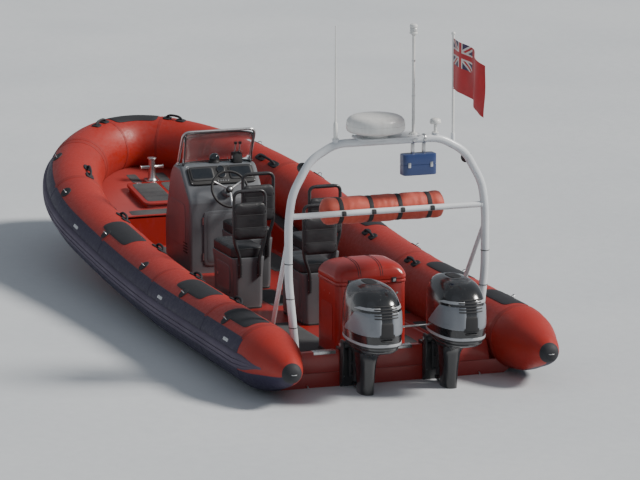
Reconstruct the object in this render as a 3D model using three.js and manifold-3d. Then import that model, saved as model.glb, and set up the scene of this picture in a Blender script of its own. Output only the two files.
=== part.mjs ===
// Inshore rescue boat: a rigid hull with an inflatable collar, twin outboards, roll frame and seats.
// Millimetres. +X is forward, +Y is port and +Z is up.
// The origin lies amidships on the centreline, at the still waterline.
import * as THREE from 'three';
import { mergeVertices } from 'three/addons/utils/BufferGeometryUtils.js';
import Module from 'manifold-3d';

const wasm = await Module();
wasm.setup();

// Fits
const touchGap = 0.3;
const pinClearance = 0.8;
const weldTolerance = 0.001;

// Collar
const tubeRadius = 275;
const tubeHalfBeam = 1150;
const tubeTipX = -4150;
const tubeStraightX = 1300;
const tubeBowLength = 2570;
const tubeAftZ = 300;
const tubeBowZ = 850;
const sheerStartX = -1500;
const sheerPower = 1.7;
const strakeDepth = 26;
const tubeJoint = 2750;
const seamOverlap = 6;

// Hull
const transomX = -3450;
const keelHalfWidth = 45;
const chineHalfWidth = 950;
const chineFlat = 55;
const chineFall = 0.25;
const deckUnderTube = 175;
const floorZ = 110;
const wellHalfWidth = 760;
const wellCorner = 120;
const wellAftX = -3350;
const wellForwardX = 2250;
const aboveDecks = 900;
const kitPadX = 1950;
const kitPadHalf = [170, 420];
const kitPadHeight = 6;
const transomTopZ = 310;
const transomThickness = 70;

// Engines, measured from the tilt axis
const engineHalfSpacing = 375;
const tiltX = -3490;
const tiltZ = 365;
const steerAft = 100;
const propellerX = -530;
const propellerZ = -895;
const propellerRadius = 180;
const hookThickness = 18;
const armReach = 145;
const armZ = 92;

// Roll frame
const frameX = -3300;
const frameTubeRadius = 35;
const frameFootY = 830;
const frameWideY = 890;
const frameTopZ = 2050;
const crossbarZ = 1450;

// Seats and helm
const seatLength = 600;
const podHeight = 470;
const cushionHeight = 110;
const consoleAftX = 900;
const consoleHalfWidth = 375;
const wheelRadius = 175;
const wheelTilt = THREE.MathUtils.degToRad(28);

const finishes = {
  tubeRed: { color: 0xd8452a, roughness: 0.55, metalness: 0 },
  hullRed: { color: 0xb8231f, roughness: 0.35, metalness: 0 },
  deckGrey: { color: 0x6d7278, roughness: 0.8, metalness: 0 },
  frameGrey: { color: 0xc9ccd0, roughness: 0.4, metalness: 0.1 },
  engineBlack: { color: 0x16171a, roughness: 0.3, metalness: 0 },
  castGrey: { color: 0x2b2d30, roughness: 0.45, metalness: 0.6 },
  steel: { color: 0xc4c7ca, roughness: 0.25, metalness: 1 },
  plasticBlack: { color: 0x1c1d20, roughness: 0.6, metalness: 0 },
  plasticWhite: { color: 0xe9eaea, roughness: 0.4, metalness: 0 },
  seatBlack: { color: 0x202226, roughness: 0.75, metalness: 0 },
  cabinetBlue: { color: 0x1b2c4f, roughness: 0.5, metalness: 0 },
  bagRed: { color: 0xc5413a, roughness: 0.85, metalness: 0 },
  flagRed: { color: 0xc22b35, roughness: 0.85, metalness: 0 },
  clear: { color: 0xbfd0d6, roughness: 0.08, metalness: 0 },
};

function vector(x, y, z) {
  return new THREE.Vector3(x, y, z);
}

// Merges shared corners, drops empty triangles and turns the faces outwards.
function weld(source) {
  const bare = source.clone();
  bare.deleteAttribute('normal');
  bare.deleteAttribute('uv');
  const merged = mergeVertices(bare, weldTolerance);
  const corners = merged.index.array;
  const kept = [];
  const [a, b, c] = [vector(), vector(), vector()];
  let volume = 0;
  for (let at = 0; at < corners.length; at += 3) {
    const [i, j, k] = [corners[at], corners[at + 1], corners[at + 2]];
    if (i === j || j === k || k === i) continue;
    kept.push(i, j, k);
    a.fromBufferAttribute(merged.attributes.position, i);
    b.fromBufferAttribute(merged.attributes.position, j);
    c.fromBufferAttribute(merged.attributes.position, k);
    volume += a.dot(b.cross(c));
  }
  if (volume < 0) kept.reverse();
  merged.setIndex(kept);
  return merged;
}

function toSolid(geometry) {
  const welded = weld(geometry);
  return new wasm.Manifold(new wasm.Mesh({
    numProp: 3,
    vertProperties: new Float32Array(welded.attributes.position.array),
    triVerts: new Uint32Array(welded.index.array),
  }));
}

function fromSolid(solid) {
  const mesh = solid.getMesh();
  const geometry = new THREE.BufferGeometry();
  geometry.setAttribute('position', new THREE.BufferAttribute(mesh.vertProperties, 3));
  geometry.setIndex(new THREE.BufferAttribute(mesh.triVerts, 1));
  return geometry;
}

function join(...geometries) {
  return fromSolid(geometries.map(toSolid).reduce((sum, next) => sum.add(next)));
}

function cut(geometry, ...tools) {
  return fromSolid(tools.map(toSolid).reduce((rest, tool) => rest.subtract(tool), toSolid(geometry)));
}

function mirrored(geometry) {
  return weld(geometry.clone().scale(1, -1, 1));
}

// A closed body through rings of equal count, each ring an array of points in order.
function loft(rings) {
  const count = rings[0].length;
  const points = rings.flat();
  const faces = [];
  for (let ring = 0; ring + 1 < rings.length; ring += 1) {
    for (let side = 0; side < count; side += 1) {
      const here = ring * count + side;
      const beside = ring * count + ((side + 1) % count);
      faces.push(here, beside, beside + count, here, beside + count, here + count);
    }
  }
  for (const ring of [0, rings.length - 1]) {
    const centre = vector(0, 0, 0);
    rings[ring].forEach((point) => centre.addScaledVector(point, 1 / count));
    points.push(centre);
    for (let side = 0; side < count; side += 1) {
      const here = ring * count + side;
      const beside = ring * count + ((side + 1) % count);
      faces.push(...(ring === 0 ? [beside, here, points.length - 1] : [here, beside, points.length - 1]));
    }
  }
  const geometry = new THREE.BufferGeometry().setFromPoints(points);
  geometry.setIndex(faces);
  return weld(geometry);
}

// Extrudes an outline of [first, second] pairs along the third direction of the named plane.
function profile(plane, outline, low, high) {
  const shape = new THREE.Shape(outline.map(([first, second]) => new THREE.Vector2(first, second)));
  const geometry = new THREE.ExtrudeGeometry(shape, { depth: high - low, bevelEnabled: false });
  const bases = {
    plan: [vector(1, 0, 0), vector(0, 1, 0), vector(0, 0, 1)],
    side: [vector(1, 0, 0), vector(0, 0, 1), vector(0, -1, 0)],
    front: [vector(0, 1, 0), vector(0, 0, 1), vector(1, 0, 0)],
  };
  geometry.applyMatrix4(new THREE.Matrix4().makeBasis(...bases[plane]));
  const shift = { plan: [0, 0, low], side: [0, high, 0], front: [low, 0, 0] }[plane];
  return geometry.translate(...shift);
}

// A box from its low and high corners.
function block(low, high) {
  const size = high.map((value, axis) => value - low[axis]);
  const middle = high.map((value, axis) => (value + low[axis]) / 2);
  return new THREE.BoxGeometry(...size).translate(...middle);
}

// Corner points of a rectangle with round corners.
function roundRectangle(halfFirst, halfSecond, radius, steps = 3) {
  const points = [];
  for (let corner = 0; corner < 4; corner += 1) {
    const first = corner === 0 || corner === 3 ? 1 : -1;
    const second = corner < 2 ? 1 : -1;
    for (let step = 0; step <= steps; step += 1) {
      const angle = (corner + step / steps) * (Math.PI / 2);
      points.push([
        first * (halfFirst - radius) + radius * Math.cos(angle),
        second * (halfSecond - radius) + radius * Math.sin(angle),
      ]);
    }
  }
  return points;
}

// A round bar between two points.
function rod(from, to, radius, sides = 12) {
  const along = to.clone().sub(from);
  const geometry = new THREE.CylinderGeometry(radius, radius, along.length(), sides);
  const turn = new THREE.Quaternion().setFromUnitVectors(vector(0, 1, 0), along.clone().normalize());
  const middle = from.clone().add(to).multiplyScalar(0.5);
  return geometry.applyQuaternion(turn).translate(middle.x, middle.y, middle.z);
}

// A round bar along straight runs with bends of the given reach at the corners between them.
function bentBar(corners, bend, radius, steps, sides = 10) {
  const path = new THREE.CurvePath();
  let start = corners[0];
  for (let index = 1; index + 1 < corners.length; index += 1) {
    const corner = corners[index];
    const before = corner.clone().lerp(corners[index - 1], bend / corner.distanceTo(corners[index - 1]));
    const after = corner.clone().lerp(corners[index + 1], bend / corner.distanceTo(corners[index + 1]));
    path.add(new THREE.LineCurve3(start, before));
    path.add(new THREE.QuadraticBezierCurve3(before, corner, after));
    start = after;
  }
  path.add(new THREE.LineCurve3(start, corners.at(-1)));
  const ring = new THREE.Shape().absarc(0, 0, radius, 0, Math.PI * 2);
  return new THREE.ExtrudeGeometry(ring, {
    steps,
    curveSegments: sides / 2,
    bevelEnabled: false,
    extrudePath: path,
  });
}

// A level ring of a rounded body, blunt at both ends.
function ovalRing(z, frontX, aftX, halfWidth, sides = 20, bluntness = 2.6) {
  const ring = [];
  for (let side = 0; side < sides; side += 1) {
    const angle = (side / sides) * Math.PI * 2;
    const [along, across] = [Math.cos(angle), Math.sin(angle)];
    const reach = (Math.abs(along) ** bluntness + Math.abs(across) ** bluntness) ** (-1 / bluntness);
    const middle = (frontX + aftX) / 2;
    ring.push(vector(middle + ((frontX - aftX) / 2) * along * reach, halfWidth * across * reach, z));
  }
  return ring;
}

function part(name, geometry, finish) {
  const mesh = new THREE.Mesh(weld(geometry), new THREE.MeshStandardMaterial(finishes[finish]));
  mesh.name = name;
  return mesh;
}

// Collar

function tubeZ(x) {
  const rise = Math.max(0, (x - sheerStartX) / (tubeStraightX + tubeBowLength - sheerStartX));
  return tubeAftZ + (tubeBowZ - tubeAftZ) * rise ** sheerPower;
}

function tubeY(x) {
  const round = Math.max(0, (x - tubeStraightX) / tubeBowLength);
  return tubeHalfBeam * Math.sqrt(Math.max(0, 1 - round ** 2));
}

// The collar's centreline, by distance: straight along the port side, then a quarter ellipse to the bow.
function tubeCentre(distance) {
  if (distance <= tubeStraightX) return vector(distance, tubeHalfBeam, tubeZ(distance));
  const angle = ((distance - tubeStraightX) / tubeBowLength) * (Math.PI / 2);
  const x = tubeStraightX + tubeBowLength * Math.sin(angle);
  return vector(x, tubeHalfBeam * Math.cos(angle), tubeZ(x));
}

// Around the tube from outboard, in degrees, with the rubbing strake as a raised band.
const tubeSection = [[-14, 0], [-11, 1], [11, 1], [14, 0]];
for (let angle = 30; angle <= 330; angle += 15) tubeSection.push([angle, 0]);

function tubeRing(distance, radius, strake) {
  const centre = tubeCentre(distance);
  const ahead = tubeCentre(distance + 1).sub(tubeCentre(distance - 1)).normalize();
  const outboard = vector(0, 0, 1).cross(ahead).normalize();
  const up = ahead.clone().cross(outboard);
  return tubeSection.map(([degrees, raised]) => {
    const angle = THREE.MathUtils.degToRad(degrees);
    const reach = radius + raised * strake;
    return centre.clone()
      .addScaledVector(outboard, reach * Math.cos(angle))
      .addScaledVector(up, reach * Math.sin(angle));
  });
}

// Aft cone. Columns: distance along the tube, share of the radius, share of the strake.
const coneStations = [
  [tubeTipX, 0.2, 0],
  [tubeTipX + 25, 0.3, 0],
  [tubeTipX + 300, 0.68, 0],
  [tubeTipX + 520, 0.92, 0.5],
  [tubeTipX + 700, 1, 1],
];

// A tube, or with extra radius the tool that cuts its seat, which runs on past the seam.
function sideTube(extra) {
  const seam = tubeJoint + (extra > 0 ? seamOverlap : 0);
  const rings = coneStations.map(([distance, share, strake]) =>
    tubeRing(distance, tubeRadius * share + extra, strakeDepth * strake));
  for (const distance of [-1400, -700, 0, 650, 1300, 1550, 1800, 2050, 2300, 2520, seam]) {
    rings.push(tubeRing(distance, tubeRadius + extra, strakeDepth));
  }
  return loft(rings);
}

function bowTube(extra) {
  const steps = 14;
  const start = tubeJoint + touchGap - (extra > 0 ? seamOverlap : 0);
  const end = 2 * (tubeStraightX + tubeBowLength) - start;
  const rings = [];
  for (let step = 0; step <= steps; step += 1) {
    rings.push(tubeRing(start + ((end - start) * step) / steps, tubeRadius + extra, strakeDepth));
  }
  return loft(rings);
}

// Hull

// Columns: x, keel z, chine half-width, chine z.
const hullStations = [
  [transomX, -420, chineHalfWidth, -40],
  [-1500, -420, chineHalfWidth, -40],
  [0, -420, chineHalfWidth, -36],
  [1100, -412, 942, -8],
  [1800, -368, 905, 52],
  [2300, -300, 840, 125],
  [2750, -190, 735, 215],
  [3100, -55, 590, 315],
  [3400, 125, 405, 420],
  [3620, 305, 215, 495],
  [3760, 470, 92, 565],
  [3840, 572, 30, 600],
];

function deckZ(x) {
  return tubeZ(x) - deckUnderTube;
}

// Half of a station from the deck edge down to the keel, the upper points buried in the collar.
// The keel's flat narrows where the chines come closer together than a share of their full width.
const deckEdgeIn = 100;
const seatEdgeIn = 40;
const seatEdgeDown = 235;
const keelNarrowsAt = 400;

function hullHalf([x, keelZ, chineY, chineZ]) {
  const flat = chineFlat * (chineY / chineHalfWidth);
  const keelHalf = keelHalfWidth * Math.min(1, chineY / keelNarrowsAt);
  return [
    [tubeY(x) - deckEdgeIn, deckZ(x)],
    [tubeY(x) - seatEdgeIn, tubeZ(x) - seatEdgeDown],
    [chineY, chineZ],
    [chineY - flat, chineZ - flat * chineFall],
    [keelHalf, keelZ],
  ];
}

// The raised pad on the cockpit floor ahead of the console, for kit.
function kitPad() {
  const [halfLength, halfWidth] = kitPadHalf;
  return block(
    [kitPadX - halfLength, -halfWidth, floorZ - kitPadHeight],
    [kitPadX + halfLength, halfWidth, floorZ + kitPadHeight],
  );
}

function buildHull() {
  const rings = hullStations.map((station) => {
    const half = hullHalf(station);
    const port = half.map(([y, z]) => vector(station[0], y, z));
    const starboard = half.map(([y, z]) => vector(station[0], -y, z)).reverse();
    return [...port, ...starboard];
  });
  const well = profile('plan', roundRectangle(
    (wellForwardX - wellAftX) / 2, wellHalfWidth, wellCorner,
  ), floorZ, aboveDecks).translate((wellForwardX + wellAftX) / 2, 0, 0);
  const portTube = sideTube(touchGap);
  const bow = bowTube(touchGap);
  const shell = cut(
    join(loft(rings), foreCoaming()),
    well, portTube, mirrored(portTube), bow, foreLockerSpace(), postSeat(), eyeNeck(touchGap),
  );
  return join(shell, kitPad());
}

// Fore locker: a coaming round a hollow, whose top slopes with the foredeck.
const lockerAftX = 2460;
const lockerForwardX = 3060;
const lockerHalfWidth = 310;
const lockerWall = 32;
const lockerFloorZ = 215;
const lockerRise = 34;
const lidThickness = 26;
const lidOverhang = 14;
const hingeOut = 20;
const lidSlope = Math.atan2(
  deckZ(lockerForwardX) - deckZ(lockerAftX), lockerForwardX - lockerAftX,
);

function lockerTopZ(x) {
  return deckZ(lockerAftX) + lockerRise + (x - lockerAftX) * Math.tan(lidSlope);
}

function foreCoaming() {
  const rootedBy = 60;
  return profile('side', [
    [lockerAftX, deckZ(lockerAftX) - rootedBy],
    [lockerForwardX, deckZ(lockerForwardX) - rootedBy],
    [lockerForwardX, lockerTopZ(lockerForwardX)],
    [lockerAftX, lockerTopZ(lockerAftX)],
  ], -lockerHalfWidth, lockerHalfWidth);
}

function foreLockerSpace() {
  return block(
    [lockerAftX + lockerWall, lockerWall - lockerHalfWidth, lockerFloorZ],
    [lockerForwardX - lockerWall, lockerHalfWidth - lockerWall, aboveDecks],
  );
}

// The lid lies in a group at its hinge, just forward of the coaming, with its underside on the coaming.
function buildForeLid() {
  const length = (lockerForwardX - lockerAftX) / Math.cos(lidSlope) + 2 * lidOverhang;
  const halfWidth = lockerHalfWidth + lidOverhang;
  const panel = profile('plan', roundRectangle(length / 2, halfWidth, 40), touchGap, lidThickness);
  const lid = new THREE.Group();
  const hingeX = lockerForwardX + hingeOut * Math.cos(lidSlope);
  lid.position.set(hingeX, 0, lockerTopZ(hingeX));
  lid.rotation.y = -lidSlope;
  panel.translate(lidOverhang - hingeOut - length / 2, 0, 0);
  lid.add(part('foredeck_lid', panel, 'deckGrey'));
  return lid;
}

// Columns of the transom's edge: y, z.
const transomEdge = [[880, deckZ(transomX) + touchGap], [866, 230], [842, transomTopZ]];

function buildTransom() {
  const outline = [...transomEdge, ...transomEdge.map(([y, z]) => [-y, z]).reverse()];
  return profile('front', outline, transomX, transomX + transomThickness);
}

// A tapered post with a cross bar and a cap, on the foredeck ahead of the lid.
const postX = 3230;
const postHeight = 230;
const postFootHalf = 70;
const postFootHeight = 24;
const postSeatGap = 6;
const crossBarHeight = 150;
const crossBarHalf = 120;

function buildTowingPost() {
  const base = deckZ(postX);
  return join(
    block(
      [postX - postFootHalf, -postFootHalf, base],
      [postX + postFootHalf, postFootHalf, base + postFootHeight],
    ),
    new THREE.CylinderGeometry(32, 38, postHeight, 16).rotateX(Math.PI / 2)
      .translate(postX, 0, base + postHeight / 2),
    rod(
      vector(postX, -crossBarHalf, base + crossBarHeight),
      vector(postX, crossBarHalf, base + crossBarHeight), 16,
    ),
    new THREE.CylinderGeometry(46, 46, 16, 16).rotateX(Math.PI / 2)
      .translate(postX, 0, base + postHeight),
  );
}

// The flat recess in the foredeck that takes the post's foot.
function postSeat() {
  const half = postFootHalf + postSeatGap;
  return block([postX - half, -half, deckZ(postX) - touchGap], [postX + half, half, aboveDecks]);
}

// A lug with a hole through it, on a thinner neck let into the stem.
const eyeX = 3518;
const eyeZ = 150;
const eyeHalf = 11;
const eyeRadius = 42;
const eyeHole = { x: 3524, radius: 20 };
const neck = { aftX: 3410, forwardX: 3500, half: 8, halfHeight: 26 };

function eyeNeck(grow) {
  return block(
    [neck.aftX - grow, -neck.half - grow, eyeZ - neck.halfHeight - grow],
    [neck.forwardX, neck.half + grow, eyeZ + neck.halfHeight + grow],
  );
}

function buildBowEye() {
  const lug = new THREE.CylinderGeometry(eyeRadius, eyeRadius, 2 * eyeHalf, 18);
  const hole = new THREE.CylinderGeometry(eyeHole.radius, eyeHole.radius, 4 * eyeHalf, 14);
  return cut(
    join(lug.translate(eyeX, 0, eyeZ), eyeNeck(0)),
    hole.translate(eyeHole.x, 0, eyeZ),
  );
}

// Engines. Each is built about its tilt axis, and its steered pieces about the steering axis.

function buildClamp() {
  const back = transomX - tiltX - touchGap;
  const front = back + transomThickness + 2 * touchGap;
  const top = transomTopZ - tiltZ + touchGap;
  const earOutline = [
    [back - 20, -330], [-20, -330], [-48, -120], [-46, 0], [-32, 32], [0, 44], [32, 32], [back, 0],
  ];
  const ears = [1, -1].map((side) =>
    profile('side', earOutline, side * 105 - 9, side * 105 + 9));
  return join(
    block([back - 24, -114, -400], [back, 114, top + hookThickness]),
    block([back - 24, -114, top], [front + 24, 114, top + hookThickness]),
    block([front, -114, top - 130], [front + 24, 114, top + hookThickness]),
    rod(vector(0, -113, 0), vector(0, 113, 0), 18, 20),
    ...ears,
  );
}

function buildSwivel() {
  const crossTube = rod(vector(0, -90, 0), vector(0, 90, 0), 32, 24);
  const barrel = rod(vector(-steerAft, 0, -300), vector(-steerAft, 0, -12), 42, 24);
  const web = profile('side', [
    [-78, -270], [-34, -270], [-22, -60], [-10, -12], [-78, -12],
  ], -60, 60);
  return cut(
    join(crossTube, barrel, web),
    rod(vector(0, -120, 0), vector(0, 120, 0), 18 + pinClearance, 20),
    rod(vector(-steerAft, 0, -340), vector(-steerAft, 0, 30), 24 + pinClearance, 20),
  );
}

// Columns: z, front x, aft x, half-width. All measured from the tilt axis.
const housingStations = [
  [-905, -190, -420, 14],
  [-780, -185, -430, 34],
  [-690, -182, -425, 46],
  [-480, -170, -395, 54],
  [-300, -158, -390, 62],
  [-60, -155, -420, 84],
  [20, -150, -520, 118],
  [62, -118, -735, 158],
  [92, -100, -768, 174],
  [99.7, -100, -768, 174],
];

const skegOutline = [
  [-235, -930], [-425, -930], [-445, -1020], [-430, -1120], [-360, -1145], [-310, -1120], [-255, -1010],
];

// Gearcase. Columns: x, radius.
const gearcaseStations = [
  [-120, 0], [-128, 20], [-150, 38], [-200, 56], [-270, 63], [-400, 62], [-468, 52], [-468, 0],
];

function buildLeg() {
  const housing = loft(housingStations.map(([z, front, aft, half]) => ovalRing(z, front, aft, half, 16)));
  const gearcase = new THREE.LatheGeometry(
    gearcaseStations.map(([x, radius]) => new THREE.Vector2(radius, x)), 16,
  ).rotateZ(-Math.PI / 2).translate(0, 0, propellerZ);
  const plate = profile('plan', [
    [-200, 50], [-260, 105], [-560, 120], [-640, 95], [-640, -95], [-560, -120], [-260, -105], [-200, -50],
  ], -696, -684);
  const arm = profile('side', [
    [-130, 0], [-70, 0], [-52, armZ - 16], [armReach - steerAft, armZ - 16],
    [armReach - steerAft + 17, armZ - 12], [armReach - steerAft + 17, armZ], [-92, armZ],
  ], -20, 20);
  return join(
    housing,
    gearcase,
    plate,
    profile('side', skegOutline, -6, 6),
    rod(vector(-steerAft, 0, -345), vector(-steerAft, 0, 20), 24, 20),
    block([-200, -46, -6], [-60, 46, 34]),
    block([-200, -44, -346], [-66, 44, -306]),
    arm,
    rod(vector(armReach - steerAft, 0, armZ - 4), vector(armReach - steerAft, 0, armZ + 30), 8),
    rod(vector(-460, 0, propellerZ), vector(propellerX - 92, 0, propellerZ), 14, 14),
    rod(vector(propellerX - 76, 0, propellerZ), vector(propellerX - 98, 0, propellerZ), 22, 6),
  );
}

// Columns: z, front x, aft x, half-width of the cowling's outside.
const cowlStations = [
  [100, -95, -770, 178],
  [135, -78, -792, 200],
  [280, -72, -800, 206],
  [400, -76, -788, 204],
  [480, -88, -752, 192],
  [545, -112, -690, 168],
  [588, -160, -600, 126],
  [606, -230, -500, 74],
];
const cowlWall = 14;

function buildCowling() {
  const outside = cowlStations.map(([z, front, aft, half]) => ovalRing(z, front, aft, half));
  const inside = cowlStations.map(([z, front, aft, half], index) => ovalRing(
    index === 0 ? z - 20 : z - cowlWall, front - cowlWall, aft + cowlWall, half - cowlWall, 16,
  ));
  return cut(loft(outside), loft(inside));
}

function buildPropeller() {
  const hub = rod(vector(propellerX + 56, 0, 0), vector(propellerX - 70, 0, 0), 50, 20);
  const bladeOutline = [
    [44, -34], [80, -62], [130, -68], [168, -44], [propellerRadius, -6],
    [174, 34], [140, 60], [90, 58], [44, 34],
  ];
  const blades = [0, 1, 2].map((index) => profile('side', bladeOutline, -4, 4)
    .rotateZ(Math.PI / 2)
    .rotateY(THREE.MathUtils.degToRad(34))
    .rotateX((index / 3) * Math.PI * 2)
    .translate(propellerX, 0, 0));
  return cut(
    join(hub, ...blades),
    rod(vector(propellerX + 90, 0, 0), vector(propellerX - 90, 0, 0), 14 + pinClearance, 14),
  );
}

function buildEngine(side) {
  const name = side > 0 ? 'port' : 'starboard';
  const engine = new THREE.Group();
  engine.position.set(tiltX, side * engineHalfSpacing, tiltZ);
  engine.add(part(`clamp_bracket_${name}`, buildClamp(), 'castGrey'));
  engine.add(part(`swivel_bracket_${name}`, buildSwivel(), 'castGrey'));
  engine.add(part(`engine_leg_${name}`, buildLeg(), 'engineBlack'));
  engine.add(part(`engine_cowling_${name}`, buildCowling(), 'engineBlack'));
  engine.add(part(`powerhead_${name}`, block([-670, -120, 100], [-190, 120, 470]), 'castGrey'));
  const propeller = part(`propeller_${name}`, buildPropeller(), 'castGrey');
  propeller.position.z = propellerZ;
  engine.add(propeller);
  return engine;
}

// The bar between the two steering arms, with an eye over each arm's pin.
function buildTieBar() {
  const eyes = [1, -1].map((side) => rod(
    vector(0, side * engineHalfSpacing, armZ + 2), vector(0, side * engineHalfSpacing, armZ + 20), 19, 18,
  ));
  const bores = [1, -1].map((side) => rod(
    vector(0, side * engineHalfSpacing, armZ - 10), vector(0, side * engineHalfSpacing, armZ + 40),
    8 + pinClearance, 12,
  ));
  const bar = rod(
    vector(0, engineHalfSpacing - 12, armZ + 11), vector(0, 12 - engineHalfSpacing, armZ + 11), 9, 12,
  );
  const tieBar = part('tie_bar', cut(join(...eyes, bar), ...bores), 'steel');
  tieBar.position.set(tiltX + armReach - steerAft, 0, tiltZ);
  return tieBar;
}

// Roll frame and what it carries

const plateTopZ = frameTopZ + frameTubeRadius + 7;
const mastY = -230;
const radomeY = 110;
const domeY = -430;
const aerialY = 470;
const staffY = -590;
const staffFootZ = 2080;
const braceTopZ = 1300;
const braceFootX = -2560;
const braceFootY = 815;
const topPlateHalf = [140, 290];
const topPlateThickness = 14;
const sparePad = { x: -3412, y: -252, half: 22, height: 6 };

// Half of the arch from foot to crown. Columns: y, z.
const archCorners = [
  [frameFootY, 132], [frameFootY + 2, 330], [frameWideY, 900], [frameWideY, 1400],
  [858, 1640], [700, 1920], [470, frameTopZ],
];

function buildRollFrame() {
  const footZ = deckZ(frameX) + touchGap;
  const half = archCorners.map(([y, z]) => vector(frameX, y, z));
  const arch = bentBar(
    [...half, ...half.map(({ x, y, z }) => vector(x, -y, z)).reverse()], 95, frameTubeRadius, 46, 8,
  );
  const crossbar = rod(vector(frameX, -frameWideY, crossbarZ), vector(frameX, frameWideY, crossbarZ), 26);
  // Columns of a foot plate: x, y, half-length, half-width.
  const feet = [[frameX, frameFootY - 2, 60, 56], [braceFootX, braceFootY, 50, 45]];
  const sides = [1, -1].flatMap((side) => [
    rod(
      vector(frameX, side * (frameWideY - 2), braceTopZ),
      vector(braceFootX, side * braceFootY, footZ + 12), 20,
    ),
    ...feet.map(([x, y, halfLength, halfWidth]) => block(
      [x - halfLength, side * y - halfWidth, footZ],
      [x + halfLength, side * y + halfWidth, footZ + 14],
    )),
  ]);
  const pads = [domeY, aerialY].map((y) =>
    rod(vector(frameX, y, frameTopZ), vector(frameX, y, plateTopZ), 32, 16));
  const [plateHalfX, plateHalfY] = topPlateHalf;
  return join(
    arch, crossbar, ...sides, ...pads,
    block(
      [frameX - plateHalfX, -plateHalfY, plateTopZ - topPlateThickness],
      [frameX + plateHalfX, plateHalfY, plateTopZ],
    ),
    block(
      [sparePad.x - sparePad.half, sparePad.y - sparePad.half, plateTopZ - topPlateThickness / 2],
      [sparePad.x + sparePad.half, sparePad.y + sparePad.half, plateTopZ + sparePad.height],
    ),
    rod(vector(frameX, staffY, 1960), vector(frameX, staffY, staffFootZ), 18),
  );
}

// A cabinet hung under the arch by two straps that reach up to its tube.
const cabinet = { x: frameX, y: -275, halfX: 60, halfY: 150, lowZ: 1745, highZ: 1925 };
const strap = { spacing: 50, halfX: 16, halfY: 12 };

function buildCabinet() {
  const { x, y, halfX, halfY, lowZ, highZ } = cabinet;
  const box = profile('plan', roundRectangle(halfX, halfY, 20), lowZ, highZ).translate(x, y, 0);
  const straps = [1, -1].map((side) => block(
    [x - strap.halfX, y + side * strap.spacing - strap.halfY, highZ - 10],
    [x + strap.halfX, y + side * strap.spacing + strap.halfY, frameTopZ - 30],
  ));
  const archTube = rod(
    vector(frameX, y - 2 * halfY, frameTopZ), vector(frameX, y + 2 * halfY, frameTopZ),
    frameTubeRadius + touchGap, 24,
  );
  return cut(join(box, ...straps), archTube);
}

// A turned piece standing on a level face. Columns of the profile: radius, height.
function turned(points, sides, x, y, z) {
  const outline = points.map(([radius, height]) => new THREE.Vector2(radius, height));
  return new THREE.LatheGeometry(outline, sides).rotateX(Math.PI / 2).translate(x, y, z + touchGap);
}

const radomeProfile = [[0, 0], [110, 0], [110, 25], [235, 45], [250, 80], [244, 140], [180, 182], [0, 192]];
const domeProfile = [[0, 0], [14, 0], [14, 70], [46, 78], [48, 100], [34, 122], [0, 128]];
const aerialProfile = [[0, 0], [19, 0], [17, 130], [8, 150], [4, 960], [0, 962]];
const mastProfile = [[0, 0], [36, 0], [36, 10], [13, 14], [13, 850], [34, 856], [34, 925], [24, 940], [0, 942]];
const staffProfile = [[0, 0], [11, 0], [11, 840], [18, 846], [14, 862], [0, 866]];

const bagRadius = 118;
const bagLength = 1120;
const bagPress = 9;
const bagX = frameX + 26 + bagRadius - bagPress;

// The rolled righting bag, lashed against the crossbar.
function buildRightingBag() {
  const half = bagLength / 2;
  const points = [[0, -half], [70, -half], [104, -half + 18], [bagRadius, -half + 60]];
  const outline = [...points, ...points.map(([radius, along]) => [radius, -along]).reverse()];
  const roll = new THREE.LatheGeometry(
    outline.map(([radius, along]) => new THREE.Vector2(radius, along)), 20,
  ).translate(bagX, 0, crossbarZ);
  return cut(roll, rod(
    vector(frameX, -900, crossbarZ), vector(frameX, 900, crossbarZ), 26 + touchGap,
  ));
}

// The ensign streams aft from its staff in growing waves and droops towards its fly.
const flagLength = 700;
const flagHeight = 430;
const flagTopZ = 2890;
const flagWave = 42;
const flagDroop = 130;
const flagThickness = 5;

function buildEnsign() {
  const steps = 16;
  const [near, far] = [[], []];
  for (let step = 0; step <= steps; step += 1) {
    const share = step / steps;
    const x = frameX - 11 - touchGap - flagLength * share;
    const y = staffY + flagWave * share ** 0.6 * Math.sin(share * Math.PI * 3);
    near.push([x, y + flagThickness / 2]);
    far.push([x, y - flagThickness / 2]);
  }
  const cloth = profile('plan', [...near, ...far.reverse()], flagTopZ - flagHeight, flagTopZ);
  const position = cloth.attributes.position;
  for (let index = 0; index < position.count; index += 1) {
    const share = (frameX - position.getX(index)) / flagLength;
    position.setZ(index, position.getZ(index) - flagDroop * share ** 2);
  }
  return cloth;
}

// Helm

const wheelAxis = vector(-Math.cos(wheelTilt), 0, Math.sin(wheelTilt));
const bossFoot = vector(950, 0, 850);
const bossReach = 60;
const wheelReach = 130;
const dashLow = [960, 860];
const dashHigh = [1180, 1090];
const dashSlope = Math.atan2(dashHigh[1] - dashLow[1], dashHigh[0] - dashLow[0]);

function alongWheel(distance) {
  return bossFoot.clone().addScaledVector(wheelAxis, distance);
}

function buildConsole() {
  const body = profile('side', [
    [consoleAftX, floorZ + touchGap], [1640, floorZ + touchGap], [1660, 500], [1480, 1010],
    [1380, dashHigh[1]], dashHigh, dashLow, [consoleAftX, 800],
  ], -consoleHalfWidth, consoleHalfWidth);
  return cut(
    join(body, rod(alongWheel(-60), alongWheel(bossReach), 45, 20)),
    rod(alongWheel(10), alongWheel(bossReach + 20), 12 + pinClearance, 14),
  );
}

function buildPanel() {
  const panel = part('instrument_panel', block([-100, -325, touchGap], [100, 325, 22]), 'plasticBlack');
  panel.position.set(1092, 0, 998);
  panel.rotation.y = -dashSlope;
  return panel;
}

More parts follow.
